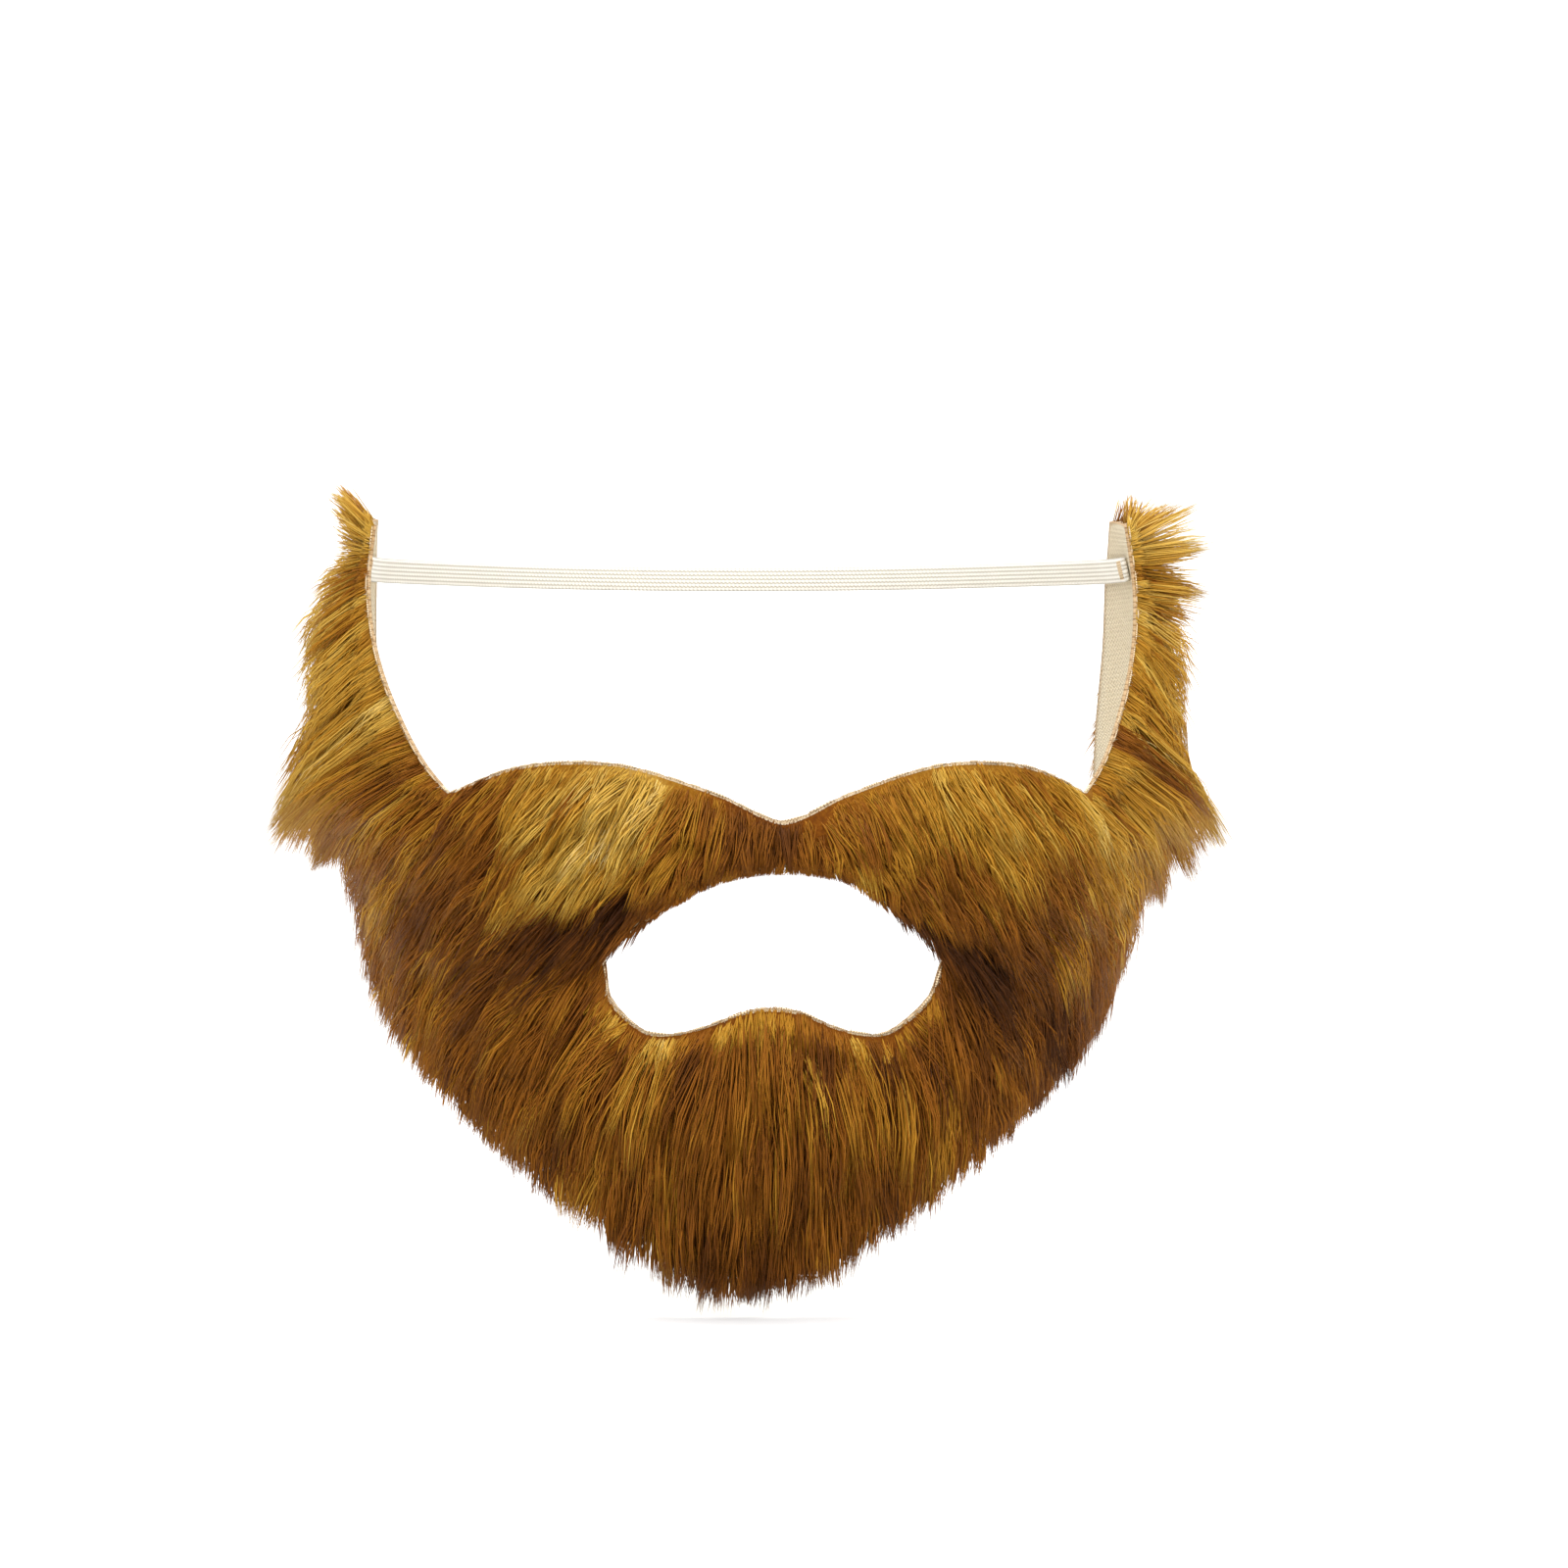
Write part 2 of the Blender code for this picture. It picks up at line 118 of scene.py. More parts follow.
@dataclass(frozen=True)
class HeadShape:
    """The head surface that every piece follows."""

    half_width: float = 0.0745
    lip_to_ears: float = 0.0960
    ears_to_nape: float = 0.0920
    rise: float = 0.0660
    drop: float = 0.0800
    lower_drift: float = 0.0065
    ear_lift: float = 0.0080
    ear_turn: float = 102.0
    ear_height: float = 0.0360
    ear_spread_deg: float = 20.0
    ear_spread: float = 0.0330
    levels: tuple[tuple[float, float, float], ...] = (
        # height share, half-width share, depth share
        (1.10, 0.990, 0.900), (0.60, 1.000, 0.940), (0.22, 1.000, 0.960), (0.00, 0.990, 1.000),
        (-0.18, 0.970, 1.010), (-0.37, 0.932, 0.985), (-0.56, 0.882, 1.005), (-0.72, 0.820, 1.015),
        (-0.88, 0.730, 0.985), (-1.05, 0.640, 0.935), (-1.30, 0.600, 0.900),
    )

    def heights(self, shares: Array) -> Array:
        """Metres above the lip for shares of the rise or the drop."""
        return shares * np.where(shares > 0.0, self.rise, self.drop)

    def level_at(self, height: Array) -> tuple[Array, Array]:
        """Half-width and forward depth of the head.

        Args:
            height: heights in metres.

        Returns:
            The half-widths and the depths in metres.
        """
        table = np.array(self.levels)
        found = self.heights(table[:, 0])
        place = np.interp(height, found[::-1], np.arange(len(found))[::-1].astype(float))
        size = curve_through(table[:, 1:], place.ravel()).reshape(*np.shape(height), 2)
        return size[..., 0] * self.half_width, size[..., 1] * self.lip_to_ears

    def skin(self, turn: Array, height: Array) -> Array:
        """Points on the head's surface.

        Args:
            turn: turns in degrees.
            height: heights in metres, as many.

        Returns:
            Points, with their coordinates on the last axis.
        """
        half_width, depth = self.level_at(height)
        angle = np.radians(turn)
        reach = np.where(np.cos(angle) > 0.0, depth, self.ears_to_nape)
        off_ear = (np.abs(turn) - self.ear_turn) / self.ear_spread_deg
        off_level = (height - self.ear_height) / self.ear_spread
        x = half_width * np.sin(angle)
        x = x + np.sign(turn) * self.ear_lift * np.exp(-off_ear**2 - off_level**2)
        x = x - self.lower_drift * smooth(-height, 0.0, self.drop)
        return np.stack([x, self.lip_to_ears - reach * np.cos(angle), height + 0.0 * x], axis=-1)

    def outward(self, turn: Array, height: Array) -> Array:
        """Unit normals away from the head.

        Args:
            turn: turns in degrees.
            height: heights in metres, as many.

        Returns:
            Normals, with their coordinates on the last axis.
        """
        step_deg, step = 0.5, 0.007 * self.half_width
        across = self.skin(turn + step_deg, height) - self.skin(turn - step_deg, height)
        up = self.skin(turn, height + step) - self.skin(turn, height - step)
        return unit(np.cross(across, up))

    def layer(self, turn: Array, height: Array, offset: Array) -> Array:
        """Points at distances outside the head's surface.

        Args:
            turn: turns in degrees.
            height: heights in metres, as many.
            offset: distances in metres, as many.

        Returns:
            Points, with their coordinates on the last axis.
        """
        offset = np.asarray(offset) + 0.0 * turn
        return self.skin(turn, height) + self.outward(turn, height) * offset[..., None]


@dataclass(frozen=True)
class CutPattern:
    """The cut of the sheet: a beard band from ear to ear and a moustache strip across it."""

    head: HeadShape = field(default_factory=HeadShape)
    wrap_deg: float = 112.0
    joint_start: float = 10.0
    joint_end: float = 16.0
    beard_rows: tuple[tuple[float, float, float, float], ...] = (
        # inner turn, inner height, outer turn, outer height as shares
        (0.790, 0.970, 0.910, 1.000), (0.777, 0.820, 0.964, 0.820), (0.741, 0.650, 0.991, 0.610),
        (0.683, 0.470, 1.000, 0.390), (0.585, 0.265, 0.982, 0.170), (0.504, 0.144, 0.938, -0.025),
        (0.429, 0.030, 0.875, -0.160), (0.339, -0.112, 0.786, -0.290),
        (0.246, -0.256, 0.679, -0.415), (0.232, -0.362, 0.563, -0.540),
        (0.170, -0.450, 0.429, -0.675), (0.098, -0.437, 0.286, -0.825),
        (0.045, -0.400, 0.143, -0.950), (0.000, -0.388, 0.000, -1.020),
    )
    moustache_rows: tuple[tuple[float, float, float, float], ...] = (
        # top turn, top height, bottom turn, bottom height as shares
        (0.384, 0.218, 0.214, -0.219), (0.295, 0.239, 0.170, -0.169), (0.214, 0.230, 0.130, -0.122),
        (0.143, 0.188, 0.089, -0.085), (0.071, 0.130, 0.045, -0.062), (0.000, 0.064, 0.000, -0.055),
    )

    def placed(self, rows: Array) -> Array:
        """Rows of shares as degrees and metres.

        Args:
            rows: inner turn, inner height, outer turn and outer height as shares.

        Returns:
            The same rows with turns in degrees and heights in metres.
        """
        turns = rows[:, [0, 2]] * self.wrap_deg
        heights = self.head.heights(rows[:, [1, 3]])
        return np.stack([turns[:, 0], heights[:, 0], turns[:, 1], heights[:, 1]], axis=1)

    @staticmethod
    def both_sides(rows: Array) -> Array:
        """Rows of one side from the left over the middle to the right, two steps a row."""
        full = np.vstack([rows * [-1, 1, -1, 1], rows[-2::-1]])
        return curve_through(full, np.arange(2 * len(full) - 1) / 2.0)

    @cached_property
    def beard_lines(self) -> Array:
        """Sections across the beard from the left tip to the right tip."""
        return self.both_sides(self.placed(np.array(self.beard_rows)))

    @cached_property
    def moustache_lines(self) -> Array:
        """Sections down the moustache from the left joint to the right joint.

        Returns:
            One row for each section, like the beard's.
        """
        dip = self.beard_lines[int(self.joint_start)]
        corner = self.beard_lines[int(self.joint_end)]
        joint = np.array([[-dip[0], dip[1], -corner[0], corner[1]]])
        return self.both_sides(np.vstack([joint, self.placed(np.array(self.moustache_rows))]))

    @property
    def beard_end(self) -> float:
        """Index of the beard's last section."""
        return float(len(self.beard_lines) - 1)

    @property
    def moustache_end(self) -> float:
        """Index of the moustache's last section."""
        return float(len(self.moustache_lines) - 1)

    @staticmethod
    def between(lines: Array, along: Array, share: Array) -> Array:
        """Turn and height, side by side, at shares of the way across a band's sections."""
        line = curve_through(lines, along)
        return line[:, :2] + (line[:, 2:] - line[:, :2]) * share[:, None]

    def beard_at(self, along: Array, across: Array) -> tuple[Array, Array]:
        """Turn and height at places of the beard band.

        Args:
            along: section index.
            across: 0 at the inner edge, 1 at the outer.

        Returns:
            Turns in degrees and heights in metres.
        """
        spot = self.between(self.beard_lines, along, across)
        return spot[:, 0], spot[:, 1]

    def moustache_at(self, along: Array, down: Array) -> tuple[Array, Array]:
        """Turn and height at places of the moustache strip, whose ends run into the beard band.

        Args:
            along: section index.
            down: 0 at the upper edge, 1 at the mouth.

        Returns:
            Turns in degrees and heights in metres.
        """
        last = self.moustache_end - 1.0
        spot = self.between(self.moustache_lines, np.clip(along, 1.0, last), down)
        seam = self.joint_start + (self.joint_end - self.joint_start) * down
        for edge, share in ((seam, 1.0 - along), (self.beard_end - seam, along - self.moustache_end + 1.0)):
            share = np.clip(share, 0.0, 1.0)[:, None]
            spot = spot * (1.0 - share) + np.stack(self.beard_at(edge, 0.0 * down), axis=1) * share
        return spot[:, 0], spot[:, 1]

    def width(self, place: Callable, along: Array) -> Array:
        """Metres from edge to edge of a band.

        Args:
            place: beard_at or moustache_at.
            along: section index.

        Returns:
            Distances in metres.
        """
        inner = self.head.skin(*place(along, np.zeros_like(along)))
        outer = self.head.skin(*place(along, np.ones_like(along)))
        return np.linalg.norm(outer - inner, axis=1)

    def beard_width(self, along: Array) -> Array:
        """Metres across the beard at section indices."""
        return self.width(self.beard_at, along)

    def moustache_width(self, along: Array) -> Array:
        """Metres down the moustache at section indices."""
        return self.width(self.moustache_at, along)

    def on_joint(self, along: Array) -> tuple[Array, Array]:
        """Sections to the nearer end of the beard, and whether the moustache joins it there."""
        from_end = np.minimum(along, self.beard_end - along)
        return from_end, (from_end >= self.joint_start) & (from_end <= self.joint_end)

    def beard_inside(self, along: Array, across: Array) -> Array:
        """Metres to the nearest free edge of the beard band.

        Args:
            along: section index.
            across: 0 at the inner edge, 1 at the outer.

        Returns:
            Distances in metres.
        """
        width = self.beard_width(along)
        from_end, joined = self.on_joint(along)
        inner = np.where(joined, width, across * width)
        return np.minimum(np.minimum(inner, (1.0 - across) * width), from_end * width)

    def moustache_inside(self, along: Array, down: Array) -> Array:
        """Metres to the nearest free edge of the moustache strip.

        Args:
            along: section index.
            down: 0 at the upper edge, 1 at the mouth.

        Returns:
            Distances in metres.
        """
        return np.minimum(down, 1.0 - down) * self.moustache_width(along)


class Signal:
    """A shader socket that takes part in arithmetic."""

    def __init__(self, sheet: "NodeSheet", socket: bpy.types.NodeSocket) -> None:
        """Keeps the sheet and the socket."""
        self.sheet = sheet
        self.socket = socket

    def math(self, operation: str, *others: "Signal | float") -> "Signal":
        """A Math node on this value and others.

        Args:
            operation: the node's operation.
            others: the other values, numbers or signals.

        Returns:
            The node's result.
        """
        inputs = dict(enumerate((self, *others)))
        return self.sheet.add("ShaderNodeMath", {"operation": operation}, inputs)

    def __add__(self, other: "Signal | float") -> "Signal":
        """Sum."""
        return self.math("ADD", other)

    __radd__ = __add__

    def __sub__(self, other: "Signal | float") -> "Signal":
        """Difference."""
        return self.math("SUBTRACT", other)

    def __rsub__(self, other: float) -> "Signal":
        """Difference from a number."""
        return (self * -1.0) + other

    def __mul__(self, other: "Signal | float") -> "Signal":
        """Product."""
        return self.math("MULTIPLY", other)

    __rmul__ = __mul__

    def __truediv__(self, other: "Signal | float") -> "Signal":
        """Quotient."""
        return self.math("DIVIDE", other)

    def __pow__(self, other: float) -> "Signal":
        """Power."""
        return self.math("POWER", other)

    def wave(self) -> "Signal":
        """Sine of whole turns, from 0 to 1."""
        return (self * (2.0 * math.pi)).math("SINE") * 0.5 + 0.5

    def fraction(self) -> "Signal":
        """Part after the point."""
        return self.math("FRACT")

    def size(self) -> "Signal":
        """Value without its sign."""
        return self.math("ABSOLUTE")


class NodeSheet:
    """A material's nodes."""

    def __init__(self, name: str) -> None:
        """Starts a material with a Principled shader.

        Args:
            name: the material's name.
        """
        self.material = bpy.data.materials.new(name)
        self.material.use_nodes = True
        self.nodes = self.material.node_tree.nodes
        self.shader = self.nodes["Principled BSDF"]

    def link(self, target: bpy.types.NodeSocket, value: Any) -> None:
        """Feeds a socket from a signal, or sets its own value.

        Args:
            target: the socket.
            value: the signal or the value.
        """
        if isinstance(value, Signal):
            self.material.node_tree.links.new(value.socket, target)
        else:
            target.default_value = value

    def add(
        self, kind: str, settings: dict[str, Any], inputs: dict[Any, Any], output: int | str = 0
    ) -> Signal:
        """Adds one node.

        Args:
            kind: the node's type.
            settings: its settings; "stops" holds a ramp's places and colours.
            inputs: values or signals by socket name or number.
            output: the socket that is wanted.

        Returns:
            That output as a signal.
        """
        node = self.nodes.new(kind)
        for key, value in settings.items():
            if key == "stops":
                ramp = node.color_ramp
                while len(ramp.elements) < len(value):
                    ramp.elements.new(0.5)
                for element, (place, color) in zip(ramp.elements, value):
                    element.position = place
                    element.color = (*color, 1.0)
            else:
                setattr(node, key, value)
        for key, value in inputs.items():
            self.link(node.inputs[key], value)
        return Signal(self, node.outputs[output])

    def map_axes(self, name: str) -> tuple[Signal, Signal]:
        """Both coordinates of a UV map."""
        place = self.add("ShaderNodeUVMap", {"uv_map": name}, {})
        return tuple(self.add("ShaderNodeSeparateXYZ", {}, {0: place}, k) for k in (0, 1))

    def noise(self, scale: float, detail: float) -> Signal:
        """Noise on the object's coordinates.

        Args:
            scale: how many grains there are in a metre.
            detail: how many finer levels are added.

        Returns:
            The noise, from 0 to 1.
        """
        vector = self.add("ShaderNodeTexCoord", {}, {}, "Object")
        inputs = {"Vector": vector, "Scale": scale, "Detail": detail, "Roughness": 0.6}
        return self.add("ShaderNodeTexNoise", {}, inputs)

    def ramp(self, value: Signal, stops: tuple) -> Signal:
        """Colours along a value."""
        return self.add("ShaderNodeValToRGB", {"stops": stops}, {0: value})

    def mix(self, blend: str, share: Signal | float, first: Signal, second: Any) -> Signal:
        """Mixes two colours.

        Args:
            blend: the Mix node's blend type.
            share: the factor.
            first: the first colour.
            second: the second colour.

        Returns:
            The mixed colour.
        """
        settings = {"data_type": "RGBA", "blend_type": blend}
        return self.add("ShaderNodeMix", settings, {0: share, 6: first, 7: second}, 2)

    def bump(self, height: Signal, distance: float, strength: float) -> Signal:
        """Normal raised by a height in shares of a distance in metres."""
        inputs = {"Height": height, "Distance": distance, "Strength": strength}
        return self.add("ShaderNodeBump", {}, inputs)

    def attribute(self, name: str) -> Signal:
        """A named attribute of the mesh as one number."""
        return self.add("ShaderNodeAttribute", {"attribute_name": name}, {}, "Fac")

    def finish(self, inputs: dict[str, Any]) -> Material:
        """Sets the shader's sockets.

        Args:
            inputs: values or signals by socket name.

        Returns:
            The finished material.
        """
        for key, value in inputs.items():
            self.link(self.shader.inputs[key], value)
        return self.material


@dataclass(frozen=True)
class HairFinish:
    """Crimped synthetic hair: colour by tone lane, darker at the root by painted shade deep in the pile,
    and paler at the tip.
    """

    name: str = "hair_fibre"
    stops: tuple = (
        (0.00, (0.045, 0.012, 0.001)),
        (0.22, (0.155, 0.047, 0.003)),
        (0.42, (0.310, 0.106, 0.006)),
        (0.62, (0.500, 0.242, 0.018)),
        (0.80, (0.710, 0.450, 0.078)),
        (1.00, (0.900, 0.700, 0.290)),
    )
    # Factors along the hair from root to tip: the darker root end is painted shade deep in the pile, and
    # the tip is paler.
    along: tuple = (
        (0.00, (0.68, 0.64, 0.58)),
        (0.20, (0.86, 0.84, 0.80)),
        (0.50, (1.00, 1.00, 1.00)),
        (1.00, (1.00, 1.05, 1.15)),
    )

    def build(self) -> Material:
        """Makes the material.

        Returns:
            The material.
        """
        sheet = NodeSheet(self.name)
        tone, along = sheet.map_axes(BAKE_MAP)
        fibre, fade = sheet.ramp(tone, self.stops), sheet.ramp(along, self.along)
        return sheet.finish({
            "Base Color": sheet.mix("MULTIPLY", 1.0, fibre, fade),
            "Roughness": 0.62 - 0.12 * along,
            "Specular IOR Level": 0.15,
        })


@dataclass(frozen=True)
class UnderfurFinish:
    """Dense short fibre below the long hair, in the hair's own tones darkened by painted shade of the deep
    pile.
    """

    name: str = "underfur_fibre"
    # The shade factors darken the underfur all over: painted shade of the pile below the long hair.
    shade: tuple = (0.52, 0.44, 0.38)
    grain: float = 1400.0
    grain_rise: float = 0.0006
    grain_tone: float = 0.5

    def build(self) -> Material:
        """Makes the material.

        Returns:
            The material.
        """
        sheet = NodeSheet(self.name)
        fibre = sheet.noise(self.grain, 4.0)
        tone = sheet.attribute(TONE_LAYER) + (fibre - 0.5) * self.grain_tone
        color = sheet.ramp(tone, HairFinish.stops)
        # Painted shade: the underfur is darkened as if covered by the long hair.
        color = sheet.mix("MULTIPLY", 1.0, color, (*self.shade, 1.0))
        return sheet.finish({
            "Base Color": color,
            "Roughness": 0.80 + 0.15 * fibre,
            "Specular IOR Level": 0.10,
            "Normal": sheet.bump(fibre, self.grain_rise, 0.8),
        })


@dataclass(frozen=True)
class KnitFinish:
    """Fine cream jersey: columns of V loops, with the yarn's fluff and painted shade in the low places
    between the loops.
    """

    name: str = "cream_jersey"
    wale: float = 0.0012
    course: float = 0.0009
    # The low places between the loops take the darker ground colour: painted shade.
    ground: tuple = (0.42, 0.33, 0.20)
    yarn: tuple = (0.80, 0.71, 0.53)
    worn: tuple = (0.80, 0.70, 0.55)
    cut: tuple = (0.62, 0.42, 0.24)
    cut_run: float = 0.0012
    arm_slant: float = 0.85
    loop_rise: float = 0.0003
    fluff_grain: float = 2600.0
    wear_grain: float = 90.0

    def build(self) -> Material:
        """Makes the material.

        Returns:
            The material.
        """
        sheet = NodeSheet(self.name)
        across, along = sheet.map_axes(CLOTH_MAP)
        column = (across / self.wale).fraction()
        arm = (column * 2.0 - 1.0).size()
        loop = (along / self.course + arm * self.arm_slant).wave()
        rib = 1.0 - (arm * 2.0 - 1.0).size() ** 2.0
        fluff = sheet.noise(self.fluff_grain, 3.0)
        wear = sheet.noise(self.wear_grain, 3.0)
        raised = loop * 0.55 + rib * 0.45
        # Darker in the low places between the loops: painted shade.
        color = sheet.ramp(raised * 0.75 + fluff * 0.25, ((0.22, self.ground), (0.62, self.yarn)))
        color = sheet.mix("MULTIPLY", wear * 0.35, color, (*self.worn, 1.0))
        at_cut = (1.0 - sheet.attribute("inside") / self.cut_run).math("MAXIMUM", 0.0)
        color = sheet.mix("MULTIPLY", at_cut * (0.55 + 0.45 * wear), color, (*self.cut, 1.0))
        return sheet.finish({
            "Base Color": color,
            "Roughness": 0.82 + 0.12 * fluff,
            "Normal": sheet.bump(raised + fluff * 0.25, self.loop_rise, 0.9),
        })


@dataclass(frozen=True)
class YarnFinish:
    """Pale cut yarn ends."""

    name: str = "cut_yarn"
    shadow: tuple = (0.22, 0.11, 0.04)
    pale: tuple = (0.76, 0.60, 0.38)
    twists: float = 9.0

    def build(self) -> Material:
        """Makes the material.

        Returns:
            The material.
        """
        sheet = NodeSheet(self.name)
        _, along = sheet.map_axes(BAKE_MAP)
        twist = (along * self.twists).wave()
        color = sheet.ramp(twist, ((0.0, self.shadow), (0.50, self.pale)))
        return sheet.finish({"Base Color": color, "Roughness": 0.75 + 0.15 * twist})


@dataclass(frozen=True)
class ElasticFinish:
    """Flat braided elastic: ribs along it, crossed by the covering yarn, with painted shade in the grooves.
    """

    name: str = "braided_elastic"
    ribs: float = 6.0
    stitch: float = 0.0011
    # The grooves between the ribs are coloured darker: painted shade.
    groove_shade: tuple = (0.46, 0.41, 0.33)
    rib: tuple = (0.88, 0.85, 0.77)
    rib_rise: float = 0.00025
    fluff_grain: float = 3000.0

    def build(self) -> Material:
        """Makes the material.

        Returns:
            The material.
        """
        sheet = NodeSheet(self.name)
        along, across = sheet.map_axes(WEAVE_MAP)
        lane = across * self.ribs
        ridge = (lane - 0.25).wave()
        shift = (lane.math("FLOOR") * 0.5).fraction()
        cross = (along / self.stitch + shift + (lane.fraction() - 0.5).size()).wave()
        fluff = sheet.noise(self.fluff_grain, 3.0)
        raised = ridge * 0.6 + cross * 0.4
        # Darker in the grooves between the ribs: painted shade.
        color = sheet.ramp(raised * 0.8 + fluff * 0.2, ((0.18, self.groove_shade), (0.58, self.rib)))
        return sheet.finish({
            "Base Color": color,
            "Roughness": 0.60 + 0.20 * fluff,
            "Normal": sheet.bump(raised, self.rib_rise, 0.9),
        })


@dataclass(frozen=True)
class StageFinish:
    """Plain pale studio paper."""

    name: str = "studio_paper"
    shade: tuple = (0.88, 0.88, 0.88, 1.0)

    def build(self) -> Material:
        """The material."""
        return NodeSheet(self.name).finish({"Base Color": self.shade, "Roughness": 0.9})


class Slot(Enum):
    """The CAD nodes whose place the pieces take."""

    CLOTH = "backing_cloth"
    PILE = "fur_pile"
    ELASTIC = "elastic_strap"


def dressed(name: str, mesh: Mesh, finish: Material, slot: Slot) -> Piece:
    """Links a finished piece that rides on the root body.

    Args:
        name: the piece's name.
        mesh: its mesh.
        finish: its material.
        slot: names the CAD node that the piece replaces, which is hidden.

    Returns:
        The object.
    """
    piece = bpy.data.objects.new(name, mesh)
    bpy.context.scene.collection.objects.link(piece)
    mesh.materials.clear()
    mesh.materials.append(finish)
    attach(piece, BODY)
    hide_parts(slot.value)
    return piece


def smooth_mesh(name: str, bm: Bmesh) -> Mesh:
    """Turns a bmesh into a smooth mesh.

    Args:
        name: the mesh's name.
        bm: the bmesh, which is freed.

    Returns:
        The mesh.
    """
    mesh = bpy.data.meshes.new(name)
    bm.to_mesh(mesh)
    bm.free()
    mesh.shade_smooth()
    return mesh


def extruded(bm: Bmesh) -> list[Any]:
    """Extrudes every face of a bmesh into a closed wall and gives the new side's vertices."""
    made = bmesh.ops.extrude_face_region(bm, geom=list(bm.faces))["geom"]
    return [item for item in made if isinstance(item, bmesh.types.BMVert)]


@dataclass
class Strands:
    """Many closed tapered fibres, kept as arrays and joined into one mesh."""

    paths: Array
    normals: Array
    radii: Array
    tones: Array
    shares: Array
    flat: float = 0.75
    sides: int = 3

    def chosen(self, own: Array) -> "Strands":
        """The chosen fibres alone."""
        arrays = (self.paths[own], self.normals[own], self.radii[own], self.tones[own])
        return Strands(*arrays, self.shares, self.flat, self.sides)

    def rings(self) -> Array:
        """Points round each fibre, without its tip.

        Returns:
            The points, (fibre, ring, side, 3).
        """
        ahead = np.gradient(self.paths, axis=1)
        side = unit(np.cross(ahead, self.normals))
        proud = unit(np.cross(side, ahead))
        angle = math.pi / 2 + 2.0 * math.pi * np.arange(self.sides) / self.sides
        cos, sin = np.cos(angle)[:, None], np.sin(angle)[:, None]
        around = side[:, :, None] * cos + proud[:, :, None] * sin * self.flat
        return (self.paths[:, :, None] + around * self.radii[:, :, None, None])[:, :-1]

    def mesh(self, name: str) -> Mesh:
        """One mesh of all the fibres, with tone and place along the fibre in its bake map.

        Args:
            name: the mesh's name.

        Returns:
            The mesh.
        """
        count, length = self.paths.shape[:2]
        rings, sides = length - 1, self.sides
        points = np.concatenate([self.rings().reshape(count, -1, 3), self.paths[:, -1:]], axis=1)
        per = rings * sides + 1
        last = (rings - 1) * sides
        quads = [
            (low + k, low + (k + 1) % sides, low + sides + (k + 1) % sides, low + sides + k)
            for low in range(0, last, sides) for k in range(sides)
        ]
        tips = [(last + k, last + (k + 1) % sides, per - 1) for k in range(sides)]
        faces = quads + tips + [tuple(range(sides - 1, -1, -1))]
        corners = np.array([c for face in faces for c in face])
        sizes = np.array([len(face) for face in faces])
        starts = np.concatenate([[0], np.cumsum(sizes)[:-1]])
        base = np.arange(count)[:, None]
        made = bpy.data.meshes.new(name)
        made.vertices.add(count * per)
        made.vertices.foreach_set("co", points.astype(np.float32).ravel())
        made.loops.add(count * len(corners))
        made.loops.foreach_set("vertex_index", (corners + base * per).astype(np.int32).ravel())
        made.polygons.add(count * len(faces))
        made.polygons.foreach_set("loop_start", (starts + base * len(corners)).astype(np.int32).ravel())
        made.uv_layers.new(name=BAKE_MAP)
        # A fibre keeps inside its tone lane and clear of the map's ends, and its root has an area.
        ring_of = np.minimum(corners // sides, rings)
        along = 0.02 + 0.96 * self.shares[ring_of]
        along[-sides:] += 0.004 * (np.arange(sides) % 2)
        across = np.where(corners == per - 1, 0.5, 0.2 + 0.6 * (corners % sides) / (sides - 1))
        lane = np.floor(np.clip(self.tones, 0.0, 0.9999) * TONE_LANES)[:, None]
        places = np.stack([(lane + across) / TONE_LANES, along + 0.0 * lane], axis=-1)
        made.uv_layers[BAKE_MAP].data.foreach_set("uv", places.astype(np.float32).ravel())
        made.update(calc_edges=True)
        made.shade_smooth()
        return made


